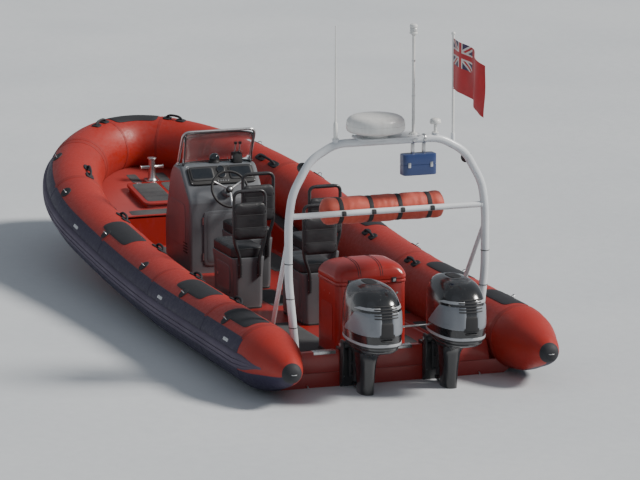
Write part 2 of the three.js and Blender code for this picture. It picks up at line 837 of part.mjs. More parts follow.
function buildWheel() {
  const rim = new THREE.TorusGeometry(wheelRadius, 13, 6, 24);
  const spokes = [0, 1, 2].map((index) => rod(vector(0, 0, -6), vector(-wheelRadius, 0, 0), 9, 8)
    .rotateZ((index / 3) * Math.PI * 2));
  const hub = rod(vector(0, 0, -30), vector(0, 0, 16), 32, 18);
  const shaft = rod(vector(0, 0, -105), vector(0, 0, -20), 12, 14);
  const wheel = part('steering_wheel', join(rim, hub, shaft, ...spokes), 'plasticBlack');
  wheel.position.copy(alongWheel(wheelReach));
  wheel.rotation.y = wheelTilt - Math.PI / 2;
  return wheel;
}

const throttleX = 1244;
const throttleY = -205;

function buildThrottle() {
  const top = dashHigh[1] + touchGap;
  const levers = [22, -22].map((offset) => join(
    rod(
      vector(throttleX, throttleY + offset, top + 60),
      vector(throttleX - 40, throttleY + offset, top + 190), 7, 8,
    ),
    block(
      [throttleX - 57, throttleY + offset - 14, top + 176],
      [throttleX - 23, throttleY + offset + 14, top + 200],
    ),
  ));
  return join(
    profile('side', [
      [-58, 0], [58, 0], [50, 70], [24, 95], [-24, 95], [-50, 70],
    ], throttleY - 42, throttleY + 42).translate(throttleX, 0, top),
    ...levers,
  );
}

const screenDepth = 175;
const screenHalfWidth = 338;
const screenHeight = 285;
const screenAftX = 1195;
const screenThickness = 8;
const screenRake = 0.24;

// A clear band bent round the front of the console's top, raked aft.
function buildWindscreen() {
  const bluntness = 3.2;
  const steps = 16;
  function edge(inset) {
    const points = [];
    for (let step = 0; step <= steps; step += 1) {
      const angle = (step / steps - 0.5) * Math.PI;
      const [ahead, across] = [Math.cos(angle), Math.sin(angle)];
      const reach = (Math.abs(ahead) ** bluntness + Math.abs(across) ** bluntness) ** (-1 / bluntness);
      points.push([
        screenAftX + (screenDepth - inset) * Math.max(0, ahead) * reach,
        (screenHalfWidth - inset) * across * reach,
      ]);
    }
    return points;
  }
  const outline = [...edge(0), ...edge(screenThickness).reverse()];
  const shear = new THREE.Matrix4().set(1, 0, -screenRake, 0, 0, 1, 0, 0, 0, 0, 1, 0, 0, 0, 0, 1);
  return profile('plan', outline, 0, screenHeight).applyMatrix4(shear)
    .translate(0, 0, dashHigh[1] + touchGap);
}

function buildConsoleRail() {
  const [footX, topX, topZ, y] = [1300, 1130, 1420, 357];
  const foot = dashHigh[1] + touchGap;
  return join(
    bentBar([
      vector(footX, y, foot + 8), vector(topX, y, topZ), vector(topX, -y, topZ), vector(footX, -y, foot + 8),
    ], 70, 13, 24, 6),
    ...[1, -1].map((side) => block(
      [footX - 28, side * y - 16, foot], [footX + 28, side * y + 16, foot + 16],
    )),
  );
}

// Seats. Columns: name, x of the aft end, y.
const seats = [
  ['helm', 50, 0],
  ['port', -750, 360],
  ['starboard', -750, -360],
  ['aft', -1600, 0],
];
// Columns of the pod: height, half-width.
const podStations = [[0, 128], [50, 138], [300, 142], [podHeight, 158]];
const cushionStations = [[0, 285, 150], [16, 296, 164], [84, 296, 164], [cushionHeight, 284, 150]];
const backLow = 640;
const backHigh = 985;
const hoopTop = 1085;
const hoopRadius = 16;
const hoopFootY = 90;
const hoopY = 148;

function podRing(height, halfLength, halfWidth, corner) {
  return roundRectangle(halfLength, halfWidth, corner)
    .map(([x, y]) => vector(seatLength / 2 + x, y, height));
}

function buildSeat([name, x, y]) {
  const pod = loft(podStations.map(([height, half]) => podRing(height, seatLength / 2, half, 45)));
  const cushion = loft(cushionStations.map(([height, length, width]) =>
    podRing(podHeight + touchGap + height, length, width, 60)));
  const hoopX = -hoopRadius - touchGap;
  const hoop = bentBar([
    vector(hoopX, hoopFootY, 300), vector(hoopX, hoopFootY, 470), vector(hoopX, hoopY, backLow),
    vector(hoopX, hoopY, hoopTop), vector(hoopX, -hoopY, hoopTop),
    vector(hoopX, -hoopY, backLow), vector(hoopX, -hoopFootY, 470), vector(hoopX, -hoopFootY, 300),
  ], 60, hoopRadius, 30, 6);
  const pad = profile('front', roundRectangle(158, (backHigh - backLow) / 2, 50), -52, 12)
    .translate(0, 0, (backHigh + backLow) / 2);
  const feet = [hoopFootY, -hoopFootY].map((side) =>
    block([hoopX - 4, side - 18, 300], [-touchGap, side + 18, 430]));
  const seat = new THREE.Group();
  seat.position.set(x, y, floorZ + touchGap);
  seat.add(part(`seat_pod_${name}`, pod, 'plasticWhite'));
  seat.add(part(`seat_cushion_${name}`, cushion, 'seatBlack'));
  seat.add(part(`seat_back_${name}`, join(hoop, pad, ...feet), 'seatBlack'));
  return seat;
}

// Aft locker with a domed lid hinged along its forward edge.
const aftLockerX = -2680;
const aftLockerHalfLength = 250;
const aftLockerHalfWidth = 320;
const aftLockerTopZ = 740;
const aftLockerWall = 28;
// Columns: height, half-length, half-width, corner radius.
const domeStations = [
  [0, 256, 326, 64], [55, 256, 326, 64], [110, 238, 308, 80], [150, 200, 270, 90], [176, 130, 200, 90],
  [184, 60, 120, 50],
];

function buildAftLocker() {
  const outer = profile('plan', roundRectangle(aftLockerHalfLength, aftLockerHalfWidth, 60),
    floorZ + touchGap, aftLockerTopZ);
  const inner = profile('plan', roundRectangle(
    aftLockerHalfLength - aftLockerWall, aftLockerHalfWidth - aftLockerWall, 36,
  ), floorZ + 40, aftLockerTopZ + 50);
  return cut(outer, inner).translate(aftLockerX, 0, 0);
}

function buildAftLid() {
  const lid = part('aft_locker_lid', loft(domeStations.map(([height, length, width, corner]) =>
    roundRectangle(length, width, corner).map(([x, y]) =>
      vector(x - aftLockerHalfLength - hingeOut, y, height + touchGap)))), 'hullRed');
  lid.position.set(aftLockerX + aftLockerHalfLength + hingeOut, 0, aftLockerTopZ);
  return lid;
}

// Assembly

const boat = new THREE.Group();
const port = sideTube(0);
boat.add(
  part('hull', buildHull(), 'hullRed'),
  part('transom_board', buildTransom(), 'hullRed'),
  part('tube_port', port, 'tubeRed'),
  part('tube_starboard', mirrored(port), 'tubeRed'),
  part('tube_bow', bowTube(0), 'tubeRed'),
  buildForeLid(),
  part('towing_post', buildTowingPost(), 'steel'),
  part('bow_eye', buildBowEye(), 'steel'),
  part('aft_locker', buildAftLocker(), 'hullRed'),
  buildAftLid(),
  buildEngine(1),
  buildEngine(-1),
  buildTieBar(),
  part('roll_frame', buildRollFrame(), 'frameGrey'),
  part('frame_cabinet', buildCabinet(), 'cabinetBlue'),
  part('radome', turned(radomeProfile, 28, frameX, radomeY, plateTopZ), 'plasticWhite'),
  part('position_dome', turned(domeProfile, 18, frameX, domeY, plateTopZ), 'plasticWhite'),
  part('aerial', turned(aerialProfile, 10, frameX, aerialY, plateTopZ), 'plasticWhite'),
  part('light_mast', turned(mastProfile, 12, frameX, mastY, plateTopZ), 'plasticWhite'),
  part('ensign_staff', turned(staffProfile, 10, frameX, staffY, staffFootZ), 'plasticWhite'),
  part('ensign', buildEnsign(), 'flagRed'),
  part('righting_bag', buildRightingBag(), 'bagRed'),
  part('console', buildConsole(), 'plasticWhite'),
  buildPanel(),
  buildWheel(),
  part('throttle_box', buildThrottle(), 'plasticBlack'),
  part('windscreen', buildWindscreen(), 'clear'),
  part('console_rail', buildConsoleRail(), 'steel'),
  ...seats.map(buildSeat),
);

export default boat;
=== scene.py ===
"""Inshore rescue boat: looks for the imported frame. Metres, +X forward, +Y port, +Z up."""
from math import atan2, cos, dist, hypot, pi, radians, sin, sqrt, tan, tau

import bmesh
import bpy
from mathutils import Matrix, Vector, noise


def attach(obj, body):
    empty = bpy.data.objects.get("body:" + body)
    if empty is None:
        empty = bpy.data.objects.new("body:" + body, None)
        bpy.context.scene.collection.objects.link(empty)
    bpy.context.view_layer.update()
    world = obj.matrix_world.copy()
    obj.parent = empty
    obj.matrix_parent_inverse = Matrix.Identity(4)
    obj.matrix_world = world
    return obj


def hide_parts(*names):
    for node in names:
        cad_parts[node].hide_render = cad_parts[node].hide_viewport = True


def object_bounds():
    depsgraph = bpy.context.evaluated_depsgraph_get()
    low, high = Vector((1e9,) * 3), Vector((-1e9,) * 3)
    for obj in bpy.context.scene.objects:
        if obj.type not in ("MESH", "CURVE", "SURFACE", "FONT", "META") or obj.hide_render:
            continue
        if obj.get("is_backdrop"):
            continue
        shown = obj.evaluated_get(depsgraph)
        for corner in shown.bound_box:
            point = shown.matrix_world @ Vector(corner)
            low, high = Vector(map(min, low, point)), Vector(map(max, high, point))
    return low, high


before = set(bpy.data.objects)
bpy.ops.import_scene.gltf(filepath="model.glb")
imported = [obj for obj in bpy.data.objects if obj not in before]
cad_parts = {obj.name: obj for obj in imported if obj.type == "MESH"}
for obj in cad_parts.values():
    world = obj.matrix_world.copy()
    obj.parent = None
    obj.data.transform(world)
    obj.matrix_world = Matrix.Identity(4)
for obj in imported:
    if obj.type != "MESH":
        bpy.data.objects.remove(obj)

CAD_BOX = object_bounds()
AHEAD, PORT, UP = Vector((1, 0, 0)), Vector((0, 1, 0)), Vector((0, 0, 1))
SIDES = (1, -1)
NAMED_SIDES = (("port", 1), ("starboard", -1))
# Left between a piece and what it stands on.
SEAT_GAP = 0.0003

# Camera and light

AZIMUTH = radians(-110)
ELEVATION = radians(11.2)
CAMERA_DISTANCE = 40.0
LENS = 244
AIM = Vector((-0.09, -0.56, 0.56))


def new_object(name, data):
    item = bpy.data.objects.new(name, data)
    bpy.context.scene.collection.objects.link(item)
    return item


def make_camera():
    toward = Vector((sin(AZIMUTH) * cos(ELEVATION), -cos(AZIMUTH) * cos(ELEVATION), sin(ELEVATION)))
    lens = bpy.data.cameras.new("camera")
    lens.lens = LENS
    lens.sensor_width = 36
    lens.clip_end = 400
    camera = new_object("camera", lens)
    camera.location = AIM + toward * CAMERA_DISTANCE
    camera.rotation_euler = (-toward).to_track_quat("-Z", "Y").to_euler()
    bpy.context.scene.camera = camera


def make_sun(name, toward, strength, spread, colour):
    light = bpy.data.lights.new(name, "SUN")
    light.energy = strength
    light.angle = radians(spread)
    light.color = colour
    new_object(name, light).rotation_euler = Vector(toward).to_track_quat("Z", "Y").to_euler()


def make_world():
    world = bpy.data.worlds.new("studio")
    world.use_nodes = True
    background = world.node_tree.nodes["Background"]
    background.inputs["Color"].default_value = (0.74, 0.8, 0.88, 1)
    background.inputs["Strength"].default_value = 0.36
    bpy.context.scene.world = world


make_camera()
make_world()
make_sun("key", (-0.3, -0.72, 0.62), 4.3, 14, (1.0, 0.96, 0.9))
make_sun("fill", (-0.5, 0.8, 0.55), 0.12, 60, (0.8, 0.88, 1.0))

# Tables, curves and places


def read_table(rows, at):
    """The columns after the first, at any value of the first, on smooth curves that don't overshoot."""
    at = min(max(at, rows[0][0]), rows[-1][0])
    index = 0
    while index < len(rows) - 2 and rows[index + 1][0] < at:
        index += 1
    low, high = rows[index], rows[index + 1]
    before = rows[max(index - 1, 0)]
    after = rows[min(index + 2, len(rows) - 1)]
    width = high[0] - low[0]
    share = (at - low[0]) / width
    values = []
    for column in range(1, len(low)):
        slope = (high[column] - low[column]) / width
        ends = []
        for first, second in ((before, low), (high, after)):
            run = second[0] - first[0]
            beside = (second[column] - first[column]) / run if run else slope
            ends.append(2 * beside * slope / (beside + slope) if beside * slope > 0 else 0.0)
        bend = (ends[0] * (share - 2 * share ** 2 + share ** 3) + ends[1] * (share ** 3 - share ** 2)) * width
        values.append(low[column] + (high[column] - low[column]) * (3 - 2 * share) * share ** 2 + bend)
    return values


def steps_between(start, end, pitch):
    """Evenly spaced values from start to end, about pitch apart."""
    count = max(1, round(abs(end - start) / pitch))
    return [start + (end - start) * step / count for step in range(count + 1)]


def smooth_step(value, low, high):
    share = min(1.0, max(0, (value - low) / (high - low)))
    return share * share * (3 - 2 * share)


def turns(count):
    """Angles evenly spaced right round."""
    return [tau * step / count for step in range(count)]


def directions_about(axis):
    """The axis at length one, and two directions across it."""
    axis = Vector(axis).normalized()
    first = axis.orthogonal().normalized()
    return axis, first, axis.cross(first)


def circle(centre, first, second, radius, count):
    """Points round a circle in the plane of two directions."""
    return [Vector(centre) + first * (radius * cos(turn)) + second * (radius * sin(turn))
            for turn in turns(count)]


def arc(start, end, pitch, place):
    """A point for each angle between two; place maps its cosine and sine."""
    return [place(cos(turn), sin(turn)) for turn in steps_between(start, end, pitch)]


def oval(turn, blunt):
    """The point at an angle on an oval of half-size one, more like a square the higher its bluntness."""
    along, across = cos(turn), sin(turn)
    reach = (abs(along) ** blunt + abs(across) ** blunt) ** (-1 / blunt)
    return along * reach, across * reach


def rounded(first, second, blunt, count):
    """A closed oval of count points with the two half-sizes."""
    ovals = [oval(turn, blunt) for turn in turns(count)]
    return [(first * along, second * across) for along, across in ovals]


def round_rectangle(half_first, half_second, radius, steps=8, straight=6):
    """Points round a rectangle with round corners, evenly split along its straight sides."""
    corners = []
    for corner in range(4):
        first = half_first - radius if corner in (0, 3) else radius - half_first
        second = half_second - radius if corner < 2 else radius - half_second
        for step in range(steps + 1):
            turn = (corner + step / steps) * pi / 2
            corners.append((first + radius * cos(turn), second + radius * sin(turn)))
    points = []
    for index, (start, end) in enumerate(zip(corners, corners[1:] + corners[:1])):
        points.append(start)
        if index % (steps + 1) == steps:
            points += [(start[0] + (end[0] - start[0]) * part / straight,
                        start[1] + (end[1] - start[1]) * part / straight) for part in range(1, straight)]
    return points


def bent_path(corners, bend, pitch):
    """Points along straight runs joined by bends of the given reach at the inner corners."""
    corners = [Vector(corner) for corner in corners]
    points = [corners[0]]
    for before, corner, after in zip(corners, corners[1:], corners[2:]):
        start = corner.lerp(before, min(0.5, bend / (corner - before).length))
        end = corner.lerp(after, min(0.5, bend / (corner - after).length))
        for share in steps_between(0, 1, 1 / 8):
            points.append(start * (1 - share) ** 2 + corner * (2 * share * (1 - share)) + end * share ** 2)
    points.append(corners[-1])
    fine = []
    for first, second in zip(points, points[1:]):
        shares = steps_between(0, 1, pitch / max((second - first).length, pitch))
        fine += [first.lerp(second, share) for share in shares[:-1]]
    return [*fine, points[-1]]


def both_sides(rows):
    """The rows, whose first column lies across, and then the same mirrored and backwards."""
    return [*rows, *[(-row[0], *row[1:]) for row in reversed(rows)]]


def on_plane(origin, first, second):
    """A place function: it maps (along first, along second, height) to a point over a plane."""
    origin, first, second = Vector(origin), Vector(first).normalized(), Vector(second).normalized()
    normal = first.cross(second)
    return lambda a, b, height: origin + first * a + second * b + normal * height


def on_slope(origin, slope):
    """A place function for a surface that climbs forward by an angle."""
    return on_plane(origin, (cos(slope), 0, sin(slope)), PORT)


def level(origin):
    """A place function that maps (x, y, z) from an origin."""
    return lambda x, y, z: Vector(origin) + Vector((x, y, z))


def upright(origin=(0, 0, 0)):
    """A place function that maps (x, z, y) from an origin."""
    return lambda x, z, y: Vector(origin) + Vector((x, y, z))


def shifted(place, first, second=0.0, rise=0.0):
    """A place function moved by an offset of its own."""
    return lambda a, b, height: place(a + first, b + second, height + rise)


def inset_rings(place, first, second, blunt, count, levels):
    """Rounded rings, each drawn in by the inset and placed at the height of its level."""
    return [[place(a, b, height) for a, b in rounded(first - inset, second - inset, blunt, count)]
            for inset, height in levels]


# Building of pieces


class Shape:
    """Collects closed surfaces that become one piece."""

    def __init__(self):
        self.points = []
        self.faces = []
        self.shades = []

    def add(self, points, faces, shade):
        start = len(self.points)
        self.points += [Vector(point) for point in points]
        self.faces += [[start + corner for corner in face] for face in faces]
        self.shades += [shade(face) if callable(shade) else shade for face in faces]
        return self

    def add_form(self, form):
        """Takes over a bmesh and frees it."""
        form.verts.index_update()
        points = [vertex.co.copy() for vertex in form.verts]
        faces = [[vertex.index for vertex in face.verts] for face in form.faces]
        form.free()
        return self.add(points, faces, 0)

    def rings(self, rings, shade=0, looped=False):
        """A skin over rings of equal count; looped joins the last ring to the first, without caps."""
        count = len(rings[0])
        points = [point for ring in rings for point in ring]
        faces = []
        for ring in range(len(rings) if looped else len(rings) - 1):
            low = ring * count
            high = (ring + 1) % len(rings) * count
            for side in range(count):
                beside = (side + 1) % count
                faces.append((low + side, low + beside, high + beside, high + side))
        if not looped:
            faces.append(tuple(reversed(range(count))))
            faces.append(tuple(range(len(points) - count, len(points))))
        return self.add(points, faces, shade)

    def path(self, points, radius, sides, looped=False, flat=1.0, up=UP):
        """A bar along points; radius is one number or one for each point, flat squeezes its height."""
        points = [Vector(point) for point in points]
        last = len(points) - 1
        side = None
        rings = []
        for index, point in enumerate(points):
            before = points[index - 1 if index or looped else 0]
            after = points[(index + 1) % len(points) if looped else min(index + 1, last)]
            ahead = (after - before).normalized()
            if side is None:
                side = up.cross(ahead)
                if side.length < 0.05:
                    side = AHEAD.cross(ahead)
            side = (side - ahead * side.dot(ahead)).normalized()
            reach = radius[index] if isinstance(radius, (list, tuple)) else radius
            rings.append(circle(point, side, ahead.cross(side) * flat, reach, sides))
        return self.rings(rings, looped=looped)

    def rod(self, start, end, radius, sides):
        return self.path([start, end], radius, sides)

    def turned(self, profile, origin, axis, sides):
        """A turned body; the profile's columns are radius and distance along the axis."""
        axis, first, second = directions_about(axis)
        return self.rings([circle(Vector(origin) + axis * along, first, second, max(radius, 0.00005), sides)
                           for radius, along in profile])

    def block(self, low, high, bevel, turn=None, segments=2):
        """A box from corner to corner with rounded edges, turned about its middle if asked."""
        low, high = Vector(low), Vector(high)
        form = bmesh.new()
        bmesh.ops.create_cube(form, size=1)
        for vertex in form.verts:
            vertex.co *= high - low
        bmesh.ops.bevel(form, geom=form.edges[:], offset=bevel, segments=segments, affect="EDGES",
                        profile=0.5, clamp_overlap=True)
        if turn is not None:
            form.transform(turn.to_4x4())
        form.transform(Matrix.Translation((low + high) / 2))
        return self.add_form(form)

    def box(self, centre, half, bevel):
        """A block about its centre."""
        centre, half = Vector(centre), Vector(half)
        return self.block(centre - half, centre + half, bevel)

    def outline(self, corners, low, high, place, bevel):
        """Extrudes a flat outline; place maps (first, second, depth) to a point."""
        form = bmesh.new()
        near = [form.verts.new(place(first, second, low)) for first, second in corners]
        result = bmesh.ops.extrude_face_region(form, geom=[form.faces.new(near)])
        moved = [item for item in result["geom"] if isinstance(item, bmesh.types.BMVert)]
        bmesh.ops.translate(form, verts=moved, vec=place(0, 0, high) - place(0, 0, low))
        bmesh.ops.recalc_face_normals(form, faces=form.faces[:])
        rims = [edge for edge in form.edges if edge.calc_face_angle(0) > 0.6]
        bmesh.ops.bevel(form, geom=rims, offset=bevel, segments=2, affect="EDGES", profile=0.5,
                        clamp_overlap=True)
        return self.add_form(form)

    def moved(self, offset):
        self.points = [point + Vector(offset) for point in self.points]
        return self

    def piece(self, name, materials, body="boat", replaces=(), slot=None, sharp=40):
        """Turns what was collected into an object that rides on a body."""
        mesh = bpy.data.meshes.new(name)
        mesh.from_pydata(self.points, [], self.faces)
        for material in materials if isinstance(materials, list) else [materials]:
            mesh.materials.append(material)
        mesh.polygons.foreach_set("material_index", self.shades)
        form = bmesh.new()
        form.from_mesh(mesh)
        bmesh.ops.recalc_face_normals(form, faces=form.faces[:])
        form.to_mesh(mesh)
        form.free()
        mesh.shade_smooth()
        mesh.set_sharp_from_angle(angle=radians(sharp))
        return finish_piece(new_object(name, mesh), body, replaces)


def finish_piece(piece, body, replaces):
    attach(piece, body)
    if replaces:
        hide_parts(*replaces)
    return piece


def add_pad(shape, place, first, second, height, blunt, edge, root=0.003):
    """A raised pad of two half-sizes with round corners and edges, its root sunk below the surface."""
    levels = [(0, -root), (0, height - edge), (0.3 * edge, height - 0.3 * edge), (edge, height)]
    rings = inset_rings(place, first, second, blunt, 48, levels)
    top = rounded(first - edge, second - edge, blunt, 48)
    for scale in (0.8, 0.5, 0.2, 0.02):
        rings.append([place(a * scale, b * scale, height) for a, b in top])
    return shape.rings(rings)


def add_pads(shape, place, spots, *sizes):
    """The same pad at several spots of a place function."""
    for first, second in spots:
        add_pad(shape, shifted(place, first, second), *sizes)


def add_bolt(shape, point, axis, radius, height):
    """A hexagonal bolt head on a washer, standing on point along axis."""
    washer, rim = radius * 1.5, height * 0.25
    head = [(0, 0), (radius, 0), (radius, height * 0.8), (radius * 0.8, height), (0, height)]
    shape.turned([(0, 0), (washer, 0), (washer, rim), (0, rim)], point, axis, 16)
    shape.turned(head, point, axis, 6)


# Materials and floor

FLOOR_HALF = 300


def toned(colour, amount, lift=0.0):
    return tuple(min(1, amount * part + lift) for part in colour)


class Surface:
    """A procedural material built from few named steps, in the boat's own coordinates."""

    def __init__(self, name, metallic=0.0, coat=0.0, sheen=0.0, transmission=0.0, ior=1.5):
        self.material = bpy.data.materials.new(name)
        self.material.use_nodes = True
        self.tree = self.material.node_tree
        self.shader = self.tree.nodes["Principled BSDF"]
        self.shader.inputs["Metallic"].default_value = metallic
        self.shader.inputs["Coat Weight"].default_value = coat
        self.shader.inputs["Coat Roughness"].default_value = 0.12
        self.shader.inputs["Sheen Weight"].default_value = sheen
        self.shader.inputs["Transmission Weight"].default_value = transmission
        self.shader.inputs["IOR"].default_value = ior
        self.place = self.node("ShaderNodeTexCoord").outputs["Object"]

    def node(self, kind, settings=None, **inputs):
        node = self.tree.nodes.new(kind)
        for key, value in (settings or {}).items():
            setattr(node, key, value)
        for key, value in inputs.items():
            self.feed(node.inputs[key.replace("_", " ")], value)
        return node

    def feed(self, socket, value):
        if isinstance(value, bpy.types.NodeSocket):
            self.tree.links.new(value, socket)
        elif isinstance(value, tuple) and len(value) == 3 and socket.type == "RGBA":
            socket.default_value = (*value, 1)
        else:
            socket.default_value = value

    def mapped(self, **inputs):
        return self.node("ShaderNodeMapping", Vector=self.place, **inputs).outputs["Vector"]

    def scaled(self, *scale):
        return self.mapped(Scale=scale)

    def noise(self, scale, detail=4.0, rough=0.55, vector=None, low=0.35, high=0.65):
        source = self.node("ShaderNodeTexNoise", Scale=scale, Detail=detail, Roughness=rough,
                           Vector=vector or self.place).outputs["Fac"]
        return self.span(source, low, high)

    def bands(self, direction, vector, **inputs):
        settings = {"wave_type": "BANDS", "bands_direction": direction}
        return self.node("ShaderNodeTexWave", settings, **inputs, Vector=vector).outputs["Fac"]

    def span(self, value, low, high, start=0.0, end=1.0):
        node = self.node("ShaderNodeMapRange", Value=value)
        for key, number in (("From Min", low), ("From Max", high), ("To Min", start), ("To Max", end)):
            self.feed(node.inputs[key], number)
        return node.outputs["Result"]

    def math(self, operation, first, second=0.0):
        node = self.node("ShaderNodeMath", {"operation": operation})
        self.feed(node.inputs[0], first)
        self.feed(node.inputs[1], second)
        return node.outputs[0]

    def times(self, first, second):
        return self.math("MULTIPLY", first, second)

    def plus(self, first, second):
        return self.math("ADD", first, second)

    def mix(self, share, first, second):
        node = self.node("ShaderNodeMix", {"data_type": "RGBA"})
        self.feed(node.inputs[0], share)
        self.feed(node.inputs[6], first)
        self.feed(node.inputs[7], second)
        return node.outputs[2]

    def tint(self, colour, pattern, amount, tone):
        """The colour moved toward a tone by a pattern, at most by amount."""
        return self.mix(self.times(pattern, amount), colour, tone)

    def worn(self):
        """Close to one along the mesh's convex edges."""
        return self.span(self.node("ShaderNodeNewGeometry").outputs["Pointiness"], 0.52, 0.6)

    def finish(self, colour, roughness, height, depth, strength):
        self.feed(self.shader.inputs["Base Color"], colour)
        self.feed(self.shader.inputs["Roughness"], roughness)
        bump = self.node("ShaderNodeBump", Height=height, Strength=strength, Distance=depth)
        self.feed(self.shader.inputs["Normal"], bump.outputs["Normal"])
        return self.material


def weave(surface, pitch):
    """Crossed fine ribs of a coated cloth."""
    ribs = [surface.bands("DIAGONAL", surface.scaled(*way), Scale=1 / pitch, Distortion=0.4, Detail=0.0)
            for way in ((1, 0, 0.6), (0, 1, 0.6))]
    return surface.times(*ribs)


def cloth_material(name, base, dark, pitch, rough, strength=0.3):
    """Coated cloth: broad grime, fine specks and a weave."""
    surface = Surface(name)
    broad = surface.noise(1.6, 6, 0.6)
    fine = surface.noise(28, 4, 0.6)
    colour = surface.tint(base, broad, 0.35, dark)
    colour = surface.tint(colour, fine, 0.16, toned(base, 0.6, 0.06))
    roughness = surface.span(fine, 0, 1, rough - 0.08, rough + 0.1)
    height = surface.plus(weave(surface, pitch), surface.times(broad, 0.8))
    return surface.finish(colour, roughness, height, 0.0006, strength)


def moulded_material(name, base, rough, grain, depth, metallic=0.0, coat=0.0, edge=0.25):
    """Painted or moulded surface: slow colour drift, fine grain, paler wear on its edges."""
    surface = Surface(name, metallic=metallic, coat=coat)
    drift = surface.noise(3.2, 5)
    fine = surface.noise(grain, 3, 0.6)
    colour = surface.tint(base, drift, 0.25, toned(base, 0.55))
    colour = surface.tint(colour, surface.worn(), edge, toned(base, 1.35, 0.05))
    roughness = surface.span(surface.plus(fine, drift), 0.2, 1.8, rough - 0.07, rough + 0.12)
    return surface.finish(colour, roughness, fine, depth, 0.35)


def steel_material(name, base=(0.62, 0.63, 0.64), rough=0.22):
    """Brushed metal: dull drift and streaks."""
    surface = Surface(name, metallic=1.0)
    drift = surface.noise(9, 6, 0.65)
    streak = surface.noise(60, 2, 0.5, surface.scaled(1, 1, 12))
    colour = surface.tint(base, drift, 0.35, (0.42, 0.41, 0.39))
    roughness = surface.span(surface.plus(drift, streak), 0, 2, rough, rough + 0.22)
    return surface.finish(colour, roughness, streak, 0.0002, 0.25)


def gelcoat_material(name, base, dark, rough=0.3):
    """Glossy moulded gelcoat with chalky drift, fine scuffs and water marks."""
    surface = Surface(name, coat=0.35)
    drift = surface.noise(1.3, 6, 0.6)
    scuff = surface.noise(34, 6, 0.72, surface.scaled(1, 1, 0.35), 0.56, 0.74)
    pale = toned(base, 0.7, 0.1)
    colour = surface.tint(base, drift, 0.3, dark)
    colour = surface.tint(colour, scuff, 0.16, pale)
    colour = surface.tint(colour, surface.worn(), 0.35, pale)
    roughness = surface.span(surface.plus(drift, scuff), 0, 2, rough, rough + 0.3)
    return surface.finish(colour, roughness, surface.noise(14, 3, 0.5), 0.0012, 0.12)


def sprayed_material(name, base, rough=0.35):
    """Sprayed band or panel: fine fleck, faint scuffs along the run of the water."""
    surface = Surface(name, coat=0.3)
    fleck = surface.noise(520, 2, 0.5)
    scuff = surface.noise(22, 6, 0.7, surface.scaled(0.4, 1, 1), 0.55, 0.75)
    colour = surface.tint(base, scuff, 0.35, toned(base, 0.6))
    colour = surface.tint(colour, fleck, 0.12, toned(base, 1.3))
    return surface.finish(colour, surface.span(scuff, 0, 1, rough, rough + 0.25), fleck, 0.0002, 0.2)


def tread_material():
    """Non-slip deck: rows of small raised diamonds, worn paler where feet pass."""
    surface = Surface("deck_tread")
    cells = surface.node("ShaderNodeTexVoronoi", {"distance": "CHEBYCHEV"}, Scale=62.0, Randomness=0.0,
                         Vector=surface.mapped(Rotation=(0, 0, pi / 4))).outputs["Distance"]
    studs = surface.span(cells, 0.2, 0.36, 1, 0)
    worn = surface.noise(2.2, 5, 0.6)
    colour = surface.mix(worn, (0.045, 0.047, 0.05), (0.085, 0.088, 0.09))
    colour = surface.tint(colour, studs, 0.35, (0.14, 0.145, 0.15))
    return surface.finish(colour, surface.span(worn, 0, 1, 0.75, 0.9), studs, 0.0022, 0.7)


def engine_black_material():
    """Glossy black paint with dried salt."""
    surface = Surface("engine_black", coat=0.8)
    drift = surface.noise(4, 5, 0.6)
    salt = surface.noise(46, 6, 0.75, surface.scaled(1, 1, 0.3), 0.6, 0.78)
    colour = surface.mix(drift, (0.009, 0.0095, 0.011), (0.02, 0.021, 0.024))
    colour = surface.tint(colour, salt, 0.22, (0.3, 0.31, 0.32))
    return surface.finish(colour, surface.span(salt, 0, 1, 0.2, 0.5), surface.noise(260, 3), 0.0002, 0.2)


def anode_material():
    """Pitted zinc of an anode."""
    surface = Surface("anode_zinc", metallic=0.6)
    pits = surface.noise(120, 6, 0.75)
    colour = surface.mix(pits, (0.42, 0.43, 0.44), (0.18, 0.18, 0.185))
    return surface.finish(colour, surface.span(pits, 0, 1, 0.5, 0.8), pits, 0.002, 0.7)


def bag_material():
    """Slack red cloth in folds."""
    surface = Surface("righting_bag_cloth", sheen=0.2)
    broad = surface.noise(5, 6, 0.65)
    fold = surface.bands("Y", surface.scaled(1, 0.8, 1), Scale=5.5, Distortion=7.0, Detail=4.0)
    colour = surface.tint((0.62, 0.1, 0.06), broad, 0.5, (0.42, 0.05, 0.035))
    height = surface.plus(surface.times(fold, 0.7), surface.times(broad, 0.5))
    return surface.finish(colour, surface.span(broad, 0, 1, 0.55, 0.7), height, 0.006, 0.5)


def radome_material():
    """White moulded cover: chalky drift, rain streaks down its side."""
    surface = Surface("radome_white", coat=0.25)
    streak = surface.noise(26, 5, 0.6, surface.scaled(1, 1, 0.08), 0.5, 0.72)
    drift = surface.noise(4, 5, 0.6)
    colour = surface.tint((0.8, 0.8, 0.78), drift, 0.4, (0.68, 0.69, 0.68))
    colour = surface.tint(colour, streak, 0.3, (0.46, 0.45, 0.42))
    return surface.finish(colour, surface.span(drift, 0, 1, 0.3, 0.45), surface.noise(140, 3), 0.0002, 0.25)


def lamp_material():
    """Ribbed lamp glass."""
    surface = Surface("lamp_glass", coat=0.6)
    ribs = surface.bands("Z", surface.place, Scale=90.0)
    colour = surface.mix(ribs, (0.75, 0.76, 0.74), (0.5, 0.52, 0.52))
    return surface.finish(colour, 0.15, ribs, 0.001, 0.5)


